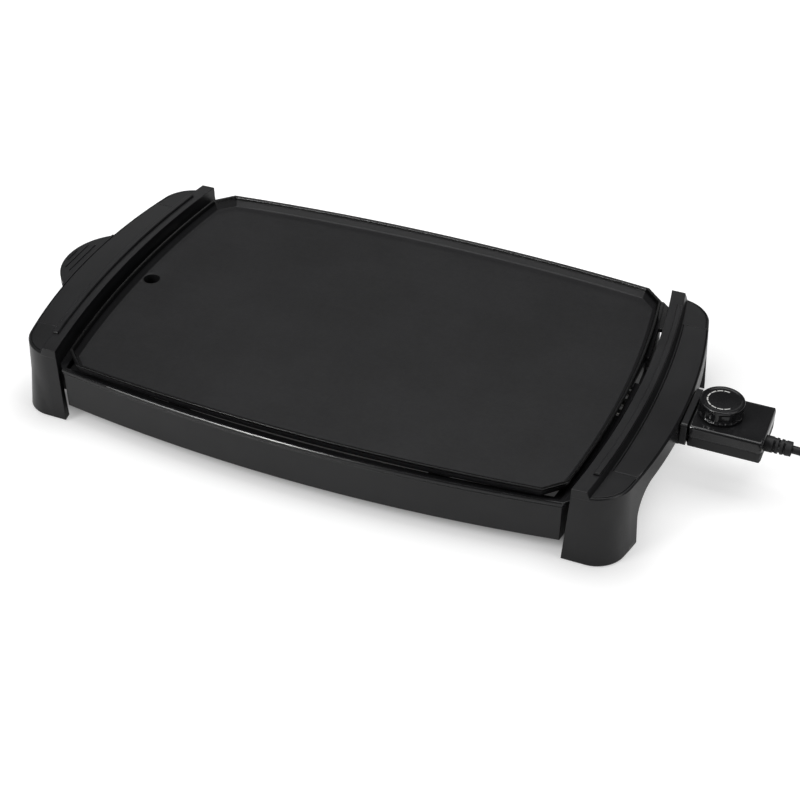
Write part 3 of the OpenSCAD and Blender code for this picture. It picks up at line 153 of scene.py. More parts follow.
class NodeSheet:
    """The node tree of one material or world, with one method that adds nodes."""

    def __init__(self, name: str, world: bool = False) -> None:
        """Starts an empty tree.

        Args:
            name: Name of the material or world.
            world: Whether it is a world.
        """
        self.output = "ShaderNodeOutputWorld" if world else "ShaderNodeOutputMaterial"
        self.material = (bpy.data.worlds if world else bpy.data.materials).new(name)
        self.material.use_nodes = True
        self.tree = self.material.node_tree
        self.tree.nodes.clear()

    def node(self, kind: str, settings: dict[str, Any] | None = None,
             inputs: dict[str | int, Any] | None = None, out: str | int = 0) -> Wire:
        """Adds a node, sets it up and joins its inputs.

        Args:
            kind: Blender's type name of the node.
            settings: The node's own properties; "stops" gives a ramp's (position, colour) pairs.
            inputs: Values or Wires, by socket name or number.
            out: Output socket that is wanted.

        Returns:
            The wanted output.
        """
        made = self.tree.nodes.new(kind)
        for key, value in (settings or {}).items():
            if key == "stops":
                ramp = made.color_ramp
                while len(ramp.elements) < len(value):
                    ramp.elements.new(0.5)
                for element, (position, colour) in zip(ramp.elements, value):
                    element.position, element.color = position, (*colour, 1.0)
            else:
                setattr(made, key, value)
        for key, value in (inputs or {}).items():
            socket = made.inputs[key]
            if isinstance(value, Wire):
                self.tree.links.new(value.socket, socket)
            elif isinstance(value, tuple) and len(value) == 3 and len(socket.default_value) == 4:
                socket.default_value = (*value, 1.0)
            else:
                socket.default_value = value
        return Wire(self, made.outputs[out])

    def place(self) -> Wire:
        """The point in the object's own coordinates."""
        return self.node("ShaderNodeTexCoord", out="Object")

    def noise(self, scale: float, detail: float = 3.0, rough: float = 0.55,
              stretch: tuple[float, float, float] = (1, 1, 1)) -> Wire:
        """Noise of a number of grains to the metre.

        Args:
            scale: Grains to the metre.
            detail: Octaves.
            rough: Share of the finer octaves.
            stretch: Factors on the three axes.

        Returns:
            The noise's value.
        """
        where = self.place()
        if stretch != (1, 1, 1):
            where = self.node("ShaderNodeMapping", inputs={"Vector": where, "Scale": stretch})
        return self.node("ShaderNodeTexNoise", inputs={
            "Vector": where, "Scale": scale, "Detail": detail, "Roughness": rough})

    def blend(self, share: Any, first: Any, second: Any) -> Wire:
        """Colour between first and second by share."""
        return self.node("ShaderNodeMix", {"data_type": "RGBA"},
                         {0: share, 6: first, 7: second}, out=2)

    def shine(self, **inputs: Any) -> None:
        """Joins one Principled shader to the output.

        Args:
            inputs: Socket names with underscores for spaces.
        """
        shader = self.node("ShaderNodeBsdfPrincipled",
                           inputs={k.replace("_", " "): v for k, v in inputs.items()})
        self.node_output(shader)

    def node_output(self, shader: Wire) -> None:
        """Joins a shader to the surface."""
        output = self.tree.nodes.new(self.output)
        self.tree.links.new(shader.socket, output.inputs["Surface"])

    def relief(self, height: Wire, strength: float, depth: float,
               under: Wire | None = None) -> Wire:
        """Normal that a height gives.

        Args:
            height: Height between 0 and 1.
            strength: Share of the effect.
            depth: Depth in metres of a height of 1.
            under: Normal that it is added to.

        Returns:
            The new normal.
        """
        inputs: dict[str | int, Any] = {"Strength": strength, "Distance": depth, "Height": height}
        if under is not None:
            inputs["Normal"] = under
        return self.node("ShaderNodeBump", inputs=inputs)

    def soft_edge(self, radius: float) -> Wire:
        """Normal that rounds every edge by a radius."""
        return self.node("ShaderNodeBevel", {"samples": 8}, {"Radius": radius})


# ---- finishes ---------------------------------------------------------------------------------


def times(colour: Colour, factor: float) -> Colour:
    """A colour times a factor, with no part of it over 1."""
    return tuple(min(1.0, part * factor) for part in colour)


class Grain(Enum):
    """How a moulding's face was left by its tool: grains to the metre and their depth."""

    SPARK = (2600, 0.00005)
    SATIN = (1500, 0.00002)
    POLISHED = (420, 0.000008)


@dataclass(frozen=True)
class Moulding:
    """Hard black or coloured plastic: fine grain, faint flow marks, handled sheen.

    Between the two heights of the polished band the face turns from grained to bright.
    """

    name: str
    colour: Colour
    grain: Grain = Grain.SPARK
    roughness: float = 0.42
    level: float = 0.4
    edge: float = 0.0
    polished: tuple[float, float] | None = None
    darker: float = 0.82
    paler: float = 1.22
    smeared: float = 0.14
    clouded: float = 0.05
    brightened: float = 0.62
    filled: float = 0.8

    def material(self) -> bpy.types.Material:
        """Makes the finish.

        Returns:
            The finish as a Blender material.
        """
        sheet = NodeSheet(self.name)
        cloud = sheet.noise(22, 2.0)
        smear = sheet.noise(9, 4.0, 0.6, (1.0, 1.0, 2.5))
        fine, depth = self.grain.value
        grain = sheet.noise(fine, 2.0, 0.5)
        tint = sheet.blend((cloud * 0.7 + grain * 0.3).step(0.3, 0.7),
                           times(self.colour, self.darker), times(self.colour, self.paler))
        rough = self.roughness + (smear - 0.5) * self.smeared + (cloud - 0.5) * self.clouded
        if self.polished:
            bright = sheet.place().axis(2).step(*self.polished)
            rough = rough * (1.0 - bright * self.brightened)
            grain = grain * (1.0 - bright * self.filled)
        under = sheet.soft_edge(self.edge) if self.edge else None
        normal = sheet.relief(grain, 0.5, depth, under)
        sheet.shine(Base_Color=tint, Roughness=rough.clamped(), Specular_IOR_Level=self.level,
                    Normal=normal)
        return sheet.material


@dataclass(frozen=True)
class Coating:
    """Non-stick coat on cast metal: orange peel, specks of gloss and faint rubbing.

    Between the two heights of the rim band the coat turns smoother, and its colour darker in a painted
    shade.
    """

    name: str = "non_stick_coating"
    colour: Colour = (0.0135, 0.0135, 0.0145)
    # Paler colour of the specks: a painted glint.
    glint: Colour = (0.055, 0.055, 0.058)
    roughness: float = 0.46
    level: float = 0.3
    rim: tuple[float, float] = (0.0, 1.0)
    darker: float = 0.78
    paler: float = 1.25
    # Colour factor of the rim band's painted shade.
    rim_painted_shade: float = 0.12
    rim_smooth: float = 0.25
    relief: float = 0.6
    depth: float = 0.00011

    def material(self) -> bpy.types.Material:
        """Makes the finish.

        Returns:
            The finish as a Blender material.
        """
        sheet = NodeSheet(self.name)
        peel = sheet.noise(620, 2.0, 0.5)
        pits = sheet.node("ShaderNodeTexVoronoi", {"feature": "F1"},
                          {"Vector": sheet.place(), "Scale": 950.0}, out="Distance")
        cloud = sheet.noise(14, 3.0)
        rub = sheet.noise(30, 4.0, 0.65, (0.35, 2.2, 1.0))
        speck = sheet.noise(1900, 1.0, 0.4).step(0.66, 0.78)
        mottle = cloud.step(0.32, 0.7) * 0.6 + sheet.noise(240, 3.0, 0.6).step(0.3, 0.7) * 0.4
        shade = sheet.blend(mottle, times(self.colour, self.darker),
                            times(self.colour, self.paler))
        # Rim band: its darker colour is a painted shade, its lower roughness a smoother coat.
        rim_shade_and_gloss = sheet.place().axis(2).step(*self.rim)
        shade = sheet.blend(rim_shade_and_gloss, shade, times(self.colour, self.rim_painted_shade))
        # The specks' paler colour is a painted glint; their lower roughness below is real.
        tint = sheet.blend(speck * 0.35, shade, self.glint)
        rough = (self.roughness + (rub - 0.5) * 0.12 + (peel - 0.5) * 0.1 - speck * 0.12
                 - rim_shade_and_gloss * self.rim_smooth)
        height = peel * 0.7 + pits.step(0.1, 0.45) * 0.3
        sheet.shine(Base_Color=tint, Roughness=rough.clamped(), Specular_IOR_Level=self.level,
                    Normal=sheet.relief(height, self.relief, self.depth))
        return sheet.material


class Metal(Enum):
    """Metals that the fittings are made of, with their colour and roughness."""

    ZINC = ((0.52, 0.53, 0.54), 0.34)
    NICKEL = ((0.66, 0.64, 0.60), 0.2)
    SHEATH = ((0.20, 0.19, 0.18), 0.42)
    SHEET = ((0.72, 0.72, 0.71), 0.24)
    STAINLESS = ((0.62, 0.61, 0.60), 0.22)
    BRASS = ((0.72, 0.52, 0.24), 0.26)


@dataclass(frozen=True)
class Drawn:
    """Metal with fine drawing marks along one axis and a little tarnish."""

    name: str
    metal: Metal
    along: tuple[float, float, float] = (0.06, 1.0, 1.0)

    def material(self) -> bpy.types.Material:
        """Makes the finish.

        Returns:
            The finish as a Blender material.
        """
        colour, roughness = self.metal.value
        sheet = NodeSheet(self.name)
        marks = sheet.noise(1400, 3.0, 0.6, self.along)
        tarnish = sheet.noise(60, 4.0, 0.6)
        tint = sheet.blend((tarnish * 0.6 + marks * 0.4).step(0.3, 0.75),
                           times(colour, 0.74), colour)
        rough = roughness + (marks - 0.5) * 0.16 + (tarnish - 0.5) * 0.12
        sheet.shine(Base_Color=tint, Roughness=rough.clamped(), Metallic=1.0,
                    Normal=sheet.relief(marks, 0.3, 0.00002, sheet.soft_edge(0.00025)))
        return sheet.material


@dataclass(frozen=True)
class Rubber:
    """Moulded rubber or flexible vinyl: soft sheen and a dusty bloom."""

    name: str
    colour: Colour = (0.016, 0.016, 0.017)
    roughness: float = 0.55
    level: float = 0.35

    def material(self) -> bpy.types.Material:
        """Makes the finish.

        Returns:
            The finish as a Blender material.
        """
        sheet = NodeSheet(self.name)
        bloom = sheet.noise(45, 4.0, 0.6)
        skin = sheet.noise(1100, 2.0, 0.5)
        tint = sheet.blend(bloom.step(0.4, 0.75) * 0.6, self.colour, times(self.colour, 1.7))
        rough = self.roughness + (bloom - 0.5) * 0.2
        sheet.shine(Base_Color=tint, Roughness=rough.clamped(), Specular_IOR_Level=self.level,
                    Normal=sheet.relief(skin, 0.4, 0.00004, sheet.soft_edge(0.0004)))
        return sheet.material


@dataclass(frozen=True)
class Stoneware:
    """Unglazed ceramic: chalky, with fine pores."""

    name: str = "ceramic"
    colour: Colour = (0.72, 0.68, 0.60)

    def material(self) -> bpy.types.Material:
        """Makes the finish.

        Returns:
            The finish as a Blender material.
        """
        sheet = NodeSheet(self.name)
        pores = sheet.noise(1800, 3.0, 0.6)
        stain = sheet.noise(120, 3.0)
        tint = sheet.blend(stain.step(0.45, 0.8), self.colour, times(self.colour, 0.8))
        sheet.shine(Base_Color=tint, Roughness=(0.75 + (pores - 0.5) * 0.2).clamped(),
                    Normal=sheet.relief(pores, 0.5, 0.00005))
        return sheet.material


# ---- surfaces ---------------------------------------------------------------------------------


def sheet_mesh(name: str, points: Array, wrap_u: bool = False, wrap_v: bool = False,
               cap_low: bool = False, cap_high: bool = False) -> bpy.types.Object:
    """Makes a mesh object from a grid of points.

    Args:
        name: Name of the object.
        points: Array of rows, columns and coordinates.
        wrap_u: Whether the last row joins the first.
        wrap_v: Whether the last column joins the first.
        cap_low: Whether the first row is closed by one face.
        cap_high: Whether the last row is closed by one face.

    Returns:
        The object, linked to the scene. Face (i, j) joins rows i, i+1 and columns j, j+1.
    """
    rows, columns = points.shape[:2]
    i = np.arange(rows if wrap_u else rows - 1)
    j = np.arange(columns if wrap_v else columns - 1)
    a, b = np.meshgrid(i, j, indexing="ij")
    a2, b2 = (a + 1) % rows, (b + 1) % columns
    quads = np.stack([a * columns + b, a * columns + b2, a2 * columns + b2, a2 * columns + b], -1)
    faces = quads.reshape(-1, 4).tolist()
    if cap_low:
        faces.append(list(range(columns - 1, -1, -1)))
    if cap_high:
        faces.append([(rows - 1) * columns + k for k in range(columns)])
    mesh = bpy.data.meshes.new(name)
    mesh.from_pydata(points.reshape(-1, 3).tolist(), [], faces)
    mesh.update()
    made = bpy.data.objects.new(name, mesh)
    bpy.context.scene.collection.objects.link(made)
    return made


def smooth(piece: bpy.types.Object, angle: float = 35.0) -> bpy.types.Object:
    """Shades a piece smooth, with edges sharper than an angle kept.

    Args:
        piece: The object.
        angle: Angle in degrees.

    Returns:
        The same object.
    """
    mesh = piece.data
    mesh.shade_smooth()
    mesh.set_sharp_from_angle(angle=math.radians(angle))
    return piece


def edge_turns(mesh: bpy.types.Mesh) -> tuple[Array, Array, Array]:
    """Angle between the two faces at each edge of a mesh whose faces may not share points.

    Points in the same place get one number, and edges between the same two numbers form a group.
    The angle of a group with two faces is the arc cosine of their normals' dot product.

    Args:
        mesh: The mesh.

    Returns:
        Points, the edges' ends, and one angle in degrees for each edge.
    """
    at = np.empty(len(mesh.vertices) * 3)
    mesh.vertices.foreach_get("co", at)
    at = at.reshape(-1, 3)
    _, same = np.unique(np.round(at, 6), axis=0, return_inverse=True)
    same = same.reshape(-1)
    ends = np.empty(len(mesh.edges) * 2, dtype=np.int64)
    mesh.edges.foreach_get("vertices", ends)
    ends = ends.reshape(-1, 2)
    edge = np.empty(len(mesh.loops), dtype=np.int64)
    mesh.loops.foreach_get("edge_index", edge)
    count = np.empty(len(mesh.polygons), dtype=np.int64)
    mesh.polygons.foreach_get("loop_total", count)
    normal = np.empty(len(mesh.polygons) * 3)
    mesh.polygons.foreach_get("normal", normal)
    normal = np.repeat(normal.reshape(-1, 3), count, axis=0)
    pair = np.sort(same[ends], axis=1)
    _, group = np.unique(pair[:, 0] * (same.max() + 1) + pair[:, 1], return_inverse=True)
    group = group.reshape(-1)
    across = group[edge]
    order = np.argsort(across, kind="stable")
    across, normal = across[order], normal[order]
    start = np.concatenate([[0], np.nonzero(np.diff(across))[0] + 1])
    size = np.diff(np.concatenate([start, [len(across)]]))
    first = start[size == 2]
    turn = np.zeros(group.max() + 1)
    dot = (normal[first] * normal[first + 1]).sum(axis=1)
    turn[across[first]] = np.degrees(np.arccos(np.clip(dot, -1, 1)))
    return at, ends, turn[group]


@dataclass(frozen=True)
class EdgeBreak:
    """Rounds a moulding's edges: a weighted bevel whose flat faces keep their normals.

    With no width the edges stay hard where their faces turn by more than the crease.
    """

    width: float = 0.0006
    segments: int = 2
    angle: float = 25.0
    rim: float = 0.0
    crease: float = 17.0
    below_rim: float = 0.25
    weld: float = 0.00002

    def weights(self, mesh: bpy.types.Mesh) -> Array:
        """Bevel weight of each edge.

        An edge counts where its faces meet at a wide angle and it is longer than twice the width.

        Args:
            mesh: Mesh whose edges are weighed.

        Returns:
            One weight for each edge: 1 within the rim's depth of the top, or everywhere if there
            is no rim, and a lower one on the other edges that count.
        """
        at, ends, turn = edge_turns(mesh)
        a, b = at[ends[:, 0]], at[ends[:, 1]]
        long = np.linalg.norm(a - b, axis=1) > 2 * self.width
        wide = (turn > self.angle) & long
        if not self.rim:
            return wide.astype(np.float32)
        top = np.minimum(a[:, 2], b[:, 2]) > at[:, 2].max() - self.rim
        return (wide * np.where(top, 1.0, self.below_rim)).astype(np.float32)

    def cut(self, piece: bpy.types.Object) -> None:
        """Adds the modifiers to a piece.

        Args:
            piece: The object. Its doubled points are joined first.
        """
        weld = piece.modifiers.new("weld", "WELD")
        weld.merge_threshold = self.weld
        mesh = piece.data
        hard = (mesh.attributes.get("sharp_edge")
                or mesh.attributes.new("sharp_edge", "BOOLEAN", "EDGE"))
        hard.data.foreach_set("value", (edge_turns(mesh)[2] > self.crease) & (self.width == 0))
        if self.width:
            mark = mesh.attributes.new("bevel_weight_edge", "FLOAT", "EDGE")
            mark.data.foreach_set("value", self.weights(mesh))
            bevel = piece.modifiers.new("edge_break", "BEVEL")
            bevel.width, bevel.segments, bevel.limit_method = self.width, self.segments, "WEIGHT"
            bevel.use_clamp_overlap, bevel.miter_outer = False, "MITER_ARC"
        even = piece.modifiers.new("face_normals", "WEIGHTED_NORMAL")
        even.mode, even.weight, even.keep_sharp = "FACE_AREA", 80, True


# ---- the studio -------------------------------------------------------------------------------


@dataclass(frozen=True)
class Lamp:
    """One soft box: its place from the middle of the plate, its size and its power in watts.

    A lamp for glints only is seen in polished edges and lights nothing else.
    """

    name: str
    place: tuple[float, float, float]
    size: tuple[float, float]
    power: float
    glints_only: bool = False

    def light(self, middle: Vector) -> None:
        """Makes the lamp, which faces the griddle.

        Args:
            middle: Middle of the plate.
        """
        data = bpy.data.lights.new(self.name, "AREA")
        data.shape, data.energy = "RECTANGLE", self.power
        data.size, data.size_y = self.size
        lamp = bpy.data.objects.new(self.name, data)
        lamp.location = middle + Vector(self.place)
        lamp.rotation_mode = "QUATERNION"
        lamp.rotation_quaternion = (-Vector(self.place)).to_track_quat("-Z", "Y")
        lamp.visible_diffuse = not self.glints_only
        bpy.context.scene.collection.objects.link(lamp)


@dataclass
class Studio:
    """Pale floor, soft lamps and the camera at the product's usual three-quarter view.

    The lamps are a box overhead, a key from the front left, a strip behind, a small box beside the
    key for the glints, and a low fill from the right.
    """

    azimuth: float = 22.57
    elevation: float = 38.20
    distance: float = 1.5242
    lens: float = 74.80
    sensor: float = 36.0
    aim: tuple[float, float, float] = (0.0279, 0.0, -0.0087)
    lamps: tuple[Lamp, ...] = (
        Lamp("top_box", (0.0, 0.5, 2.4), (2.4, 1.8), 38.0),
        Lamp("key_box", (-1.35, -1.75, 1.9), (0.9, 0.9), 26.0),
        Lamp("back_strip", (-0.9, 2.6, 1.6), (2.4, 0.5), 3.0),
        Lamp("glint_box", (-0.98, -1.56, 1.84), (0.4, 0.4), 20.0, True),
        Lamp("fill_box", (2.4, -0.6, 1.1), (1.0, 1.0), 8.0))
    world_light: float = 0.05
    world_white: float = 1.0
    floor_half: float = 6.0
    floor_drop: float = 0.0002
    floor_grey: float = 0.62
    floor_glow: float = 0.66
    floor_gloss: float = 0.25
    glow_run: tuple[float, float] = (1.0, 2.4)
    bow: float = 1.5
    # Painted shade: the floor's glow is darkened round the griddle's footprint and round each handle's
    # feet, standing in for the shade under the griddle.
    painted_shade_inset: tuple[float, float] = (0.052, 0.034)
    painted_shade_run: float = 0.024
    painted_shade_deep: float = 0.97
    painted_foot_shade_inset: float = 0.035
    painted_foot_shade_run: float = 0.042
    painted_foot_shade_deep: float = 0.3
    middle: Vector = field(default_factory=Vector)

    def build(self, plate: str) -> None:
        """Makes camera, floor, lamps and world.

        Args:
            plate: Node whose middle the camera's aim is given from.
        """
        low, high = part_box(plate)
        self.middle = Vector(((low.x + high.x) / 2, 0.0, 0.0))
        bpy.context.scene.view_settings.view_transform = "Standard"
        self._camera()
        self._floor()
        for lamp in self.lamps:
            lamp.light(self.middle)
        self._world()

    def _camera(self) -> None:
        """Camera on a sphere round its aim."""
        a, e = math.radians(self.azimuth), math.radians(self.elevation)
        back = Vector((math.sin(a) * math.cos(e), -math.cos(a) * math.cos(e), math.sin(e)))
        data = bpy.data.cameras.new("view")
        data.lens, data.sensor_width = self.lens, self.sensor
        data.clip_start, data.clip_end = 0.05, 60.0
        camera = bpy.data.objects.new("view", data)
        camera.location = self.middle + Vector(self.aim) + back * self.distance
        camera.rotation_mode = "QUATERNION"
        camera.rotation_quaternion = (-back).to_track_quat("-Z", "Y")
        bpy.context.scene.collection.objects.link(camera)
        bpy.context.scene.camera = camera

    def _floor(self) -> None:
        """White floor that keeps the soft shadow, with a painted shade in its glow round the griddle.
        """
        grid = np.linspace(-self.floor_half, self.floor_half, 3)
        x, y = np.meshgrid(grid, grid, indexing="ij")
        floor = sheet_mesh("floor", np.stack([x, y, np.zeros_like(x) - self.floor_drop], -1))
        floor.data.flip_normals()
        sheet = NodeSheet("floor_card")
        card = sheet.node("ShaderNodeBsdfDiffuse", inputs={"Color": (self.floor_grey,) * 3})
        path = sheet.node("ShaderNodeLightPath", out="Is Camera Ray")
        gloss = sheet.node("ShaderNodeLightPath", out="Is Glossy Ray")
        # The glow, to the camera and in reflections, is cut by a painted shade round the griddle.
        glow = sheet.node("ShaderNodeEmission", inputs={
            "Color": (1.0, 1.0, 1.0),
            "Strength": (path * self._far(sheet) + gloss * self.floor_gloss) * self._painted_shade(sheet)})
        sheet.node_output(sheet.node("ShaderNodeAddShader", inputs={0: card, 1: glow}))
        floor.data.materials.append(sheet.material)

    def _far(self, sheet: NodeSheet) -> Wire:
        """The floor's glow to the camera, which grows to white away from the lamps.

        Args:
            sheet: Sheet that the nodes are added to.

        Returns:
            A strength between 0 and 1.
        """
        x, y = sheet.place().axis(0), sheet.place().axis(1)
        away = ((x * x + y * y) ** 0.5).step(*self.glow_run)
        return away * (1.0 - self.floor_glow) + self.floor_glow

    def _painted_shade(self, sheet: NodeSheet) -> Wire:
        """Painted shade: the share of the floor's glow that is left round the griddle and its feet.

        With d the distance outside the inset footprint, whose long sides are arcs, the share is
        1 - deep exp(-(d / run)^2).

        Args:
            sheet: Sheet that the nodes are added to.

        Returns:
            A share between 0 and 1.
        """
        low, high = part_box("base_frame")
        half = (high.y - low.y) / 2 - self.painted_shade_inset[1]
        wide = (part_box("right_handle")[1].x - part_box("left_handle")[0].x) / 2 - self.painted_shade_inset[0]
        x = (sheet.place().axis(0) - self.middle.x).size()
        y = (sheet.place().axis(1) - (low.y + high.y) / 2).size() + (self.bow - half)
        dx = (x - wide).over(0.0)
        dy = ((x * x + y * y) ** 0.5 - self.bow).over(0.0)
        # Painted shade round the footprint, then a weaker painted shade round each handle's feet.
        left = 1.0 - self._spread(dx, dy, self.painted_shade_run) * self.painted_shade_deep
        foot = high.y - self.painted_foot_shade_inset
        for handle in ("left_handle", "right_handle"):
            near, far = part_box(handle)
            away = sheet.place().axis(0) - (near.x + far.x) / 2
            aside = (sheet.place().axis(1) - (low.y + high.y) / 2).size() - foot
            left = left * (1.0 - self._spread(away, aside, self.painted_foot_shade_run) * self.painted_foot_shade_deep)
        return left

    def _spread(self, away: Wire, aside: Wire, run: float) -> Wire:
        """exp(-(d / run)^2), with d the length of the two offsets together."""
        return math.e ** ((away * away + aside * aside) / -(run**2))

    def _world(self) -> None:
        """White surroundings: full strength to the camera, weaker as light."""
        sheet = NodeSheet("room", world=True)
        path = sheet.node("ShaderNodeLightPath", out="Is Camera Ray")
        strength = sheet.node("ShaderNodeMix", inputs={
            "Factor": path, "A": self.world_light, "B": self.world_white}, out="Result")
        sheet.node_output(sheet.node("ShaderNodeBackground", inputs={"Strength": strength}))
        bpy.context.scene.world = sheet.material


# ---- the cord ---------------------------------------------------------------------------------


@dataclass
class CordSet:
    """Mains cord: a free run down to the floor, a tied coil of four turns, and its plug.

    The points give the free run: distances ahead of the strain relief and heights from its middle.
    """

    diameter: float = 0.007
    mean_radius: float = 0.0385
    turns: float = 4.12
    change: float = 0.16
    reach: float = 0.45
    into_plug: float = 0.006
    step: float = 0.0024
    softened: int = 6
    sides: int = 20
    points: list[tuple[float, float]] = field(default_factory=lambda: [
        (-0.010, 0.0), (0.0, 0.0), (0.006, 0.0), (0.015, -0.0012), (0.023, -0.0046),
        (0.030, -0.010), (0.0355, -0.017), (0.0387, -0.0245), (0.042, -0.032),
        (0.0475, -0.039), (0.0545, -0.0444), (0.0625, -0.0472), (0.0715, -0.0481),
        (0.084, -0.0481), (0.095, -0.0481)])

    def path(self) -> Array:
        """Centreline of the cord from the strain relief to the plug.

        The free run follows the route's points. The coil's radius is the mean radius plus or minus
        half a diameter, and its height the coil's middle plus or minus half a diameter: outside
        below, inside below, inside above, outside above. The tail is a cubic curve into the plug.

        Returns:
            Points, one row each.
        """
        low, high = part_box("strain_relief")
        exit_x, y, z = high.x, (low.y + high.y) / 2, (low.z + high.z) / 2
        run = np.array(self.points)
        free = np.stack([exit_x + run[:, 0], np.full(len(run), y), z + run[:, 1]], -1)
        low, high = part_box("cord_coil")
        middle = np.array([(low.x + high.x) / 2, (low.y + high.y) / 2, (low.z + high.z) / 2])
        half = self.diameter / 2
        turn = np.linspace(0.0, self.turns, 300)
        radius = (self.mean_radius + half - 2 * half * self._past(turn, 1.0)
                  + 2 * half * self._past(turn, 3.0))
        height = middle[2] - half + 2 * half * self._past(turn, 2.0)
        angle = math.pi / 2 - turn * 2 * math.pi
        coil = np.stack([middle[0] + radius * np.cos(angle), middle[1] + radius * np.sin(angle),
                         height], -1)
        low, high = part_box("plug_body")
        end = np.array([(low.x + high.x) / 2, high.y, (low.z + high.z) / 2])
        last = coil[-1]
        t = np.linspace(0, 1, 14)[1:, None]
        go = coil[-1] - coil[-2]
        go = go / np.linalg.norm(go)
        span = np.linalg.norm(end - last)
        p1, p2 = last + go * span * self.reach, end + np.array([0, 0.5 * span, 0])
        tail = ((1 - t) ** 3 * last + 3 * (1 - t) ** 2 * t * p1 + 3 * (1 - t) * t ** 2 * p2
                + t ** 3 * end)
        inside = end + np.array([[0, -self.into_plug, 0]])
        return self._even(np.concatenate([free[:-1], coil, tail, inside]))

    def _past(self, turn: Array, at: float) -> Array:
        """Share of a change of layer that is done: 3 e^2 - 2 e^3, with e rising evenly over it.

        Args:
            turn: Turns of the coil so far.
            at: Turn that the change is centred on.

        Returns:
            One share for each value of turn.
        """
        even = np.clip((turn - at) / self.change + 0.5, 0, 1)
        return even ** 2 * (3 - 2 * even)

    def _even(self, points: Array) -> Array:
        """The same line at even steps, smoothed a little.

        Args:
            points: Points of the line.

        Returns:
            New points.
        """
        gap = np.linalg.norm(np.diff(points, axis=0), axis=1)
        along = np.concatenate([[0.0], np.cumsum(gap)])
        count = int(along[-1] / self.step)
        at = np.linspace(0, along[-1], count)
        even = np.stack([np.interp(at, along, points[:, k]) for k in range(3)], -1)
        for _ in range(self.softened):
            even[1:-1] = 0.25 * even[:-2] + 0.5 * even[1:-1] + 0.25 * even[2:]
        return even

    def tube(self, name: str, line: Array, radius: float) -> bpy.types.Object:
        """Round tube: each point of the line plus radius times a circle across the line.

        Args:
            name: Name of the object.
            line: Centreline.
            radius: Radius.

        Returns:
            The object, with a UV map along and round the tube.
        """
        ahead = np.gradient(line, axis=0)
        ahead /= np.linalg.norm(ahead, axis=1, keepdims=True)
        side = np.zeros_like(line)
        side[0] = np.cross(ahead[0], [0, 0, 1.0])
        for k in range(1, len(line)):
            side[k] = side[k - 1] - ahead[k] * np.dot(side[k - 1], ahead[k])
            side[k] /= np.linalg.norm(side[k])
        side[0] /= np.linalg.norm(side[0])
        up = np.cross(side, ahead)
        a = np.linspace(0, 2 * np.pi, self.sides, endpoint=False)
        ring = (side[:, None, :] * np.cos(a)[None, :, None]
                + up[:, None, :] * np.sin(a)[None, :, None])
        return smooth(sheet_mesh(name, line[:, None, :] + radius * ring, wrap_v=True,
                                 cap_low=True, cap_high=True), 60)

    def build(self, sheath: bpy.types.Material) -> None:
        """Args:
            sheath: Finish of the cord.
        """
        line = self.path()
        cord = self.tube("mains_cord", line, self.diameter / 2)
        cord.data.materials.append(sheath)
        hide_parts("power_cord", "cord_coil")
        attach(cord, "controller")


# ---- the controller's turned and moulded pieces -----------------------------------------------


@dataclass(frozen=True)
class RingMark:
    """Knob finish: polished sides, a satin top and a printed ring of dashes open to one side."""

    name: str = "knob_black"
    centre: tuple[float, float, float] = (0.0, 0.0, 0.0)
    radius: float = 0.0125
    line: float = 0.0011
    opening: float = 118.0
    towards: float = 14.0
    dashes: int = 9
    skirt: float = 0.0025
    dish: tuple[float, float] = (0.0158, 0.0164)
    colour: Colour = (0.011, 0.011, 0.012)
    ink: Colour = (0.72, 0.72, 0.70)

    def material(self) -> bpy.types.Material:
        """The finish as a Blender material.

        The ring holds where the distance from the middle differs from the radius by less than
        half a line. Its angle, counted from the middle of the opening, is cut into equal parts,
        of which each keeps its middle four fifths as a dash.

        Returns:
            The finish as a Blender material.
        """
        sheet = NodeSheet(self.name)
        x = sheet.place().axis(0) - self.centre[0]
        y = sheet.place().axis(1) - self.centre[1]
        height = sheet.place().axis(2) - self.centre[2]
        away = (x * x + y * y) ** 0.5
        turned = math.radians(self.towards + 180.0)
        ahead = x * math.cos(turned) + y * math.sin(turned)
        aside = y * math.cos(turned) - x * math.sin(turned)
        angle = aside.angle(ahead) * (180.0 / math.pi)
        span = (360.0 - self.opening) / self.dashes
        part = ((angle + (360.0 - self.opening) / 2) / span).part()
        worn = sheet.noise(900, 2.0, 0.6).step(0.2, 0.42)
        band = 1.0 - (away - self.radius).size().step(self.line * 0.42, self.line * 0.58)
        dash = 1.0 - (part - 0.5).size().step(0.39, 0.43)
        within = 1.0 - angle.size().above((360.0 - self.opening) / 2)
        top = height.above(-self.skirt)
        mark = band * dash * within * top * worn
        cloud = sheet.noise(40, 3.0)
        grain = sheet.noise(1800, 2.0)
        flat = top * (1.0 - away.step(*self.dish))
        shade = sheet.blend(cloud.step(0.3, 0.7), times(self.colour, 0.85),
                            times(self.colour, 1.15))
        tint = sheet.blend(mark, shade, self.ink)
        rough = 0.15 + flat * 0.02 + mark * 0.25 + (cloud - 0.5) * 0.08
        sheet.shine(Base_Color=tint, Roughness=rough.clamped(), Specular_IOR_Level=0.5,
                    Normal=sheet.relief(grain * (0.2 + flat * 0.8), 0.5, 0.00002,
                                        sheet.soft_edge(0.0004)))
        return sheet.material


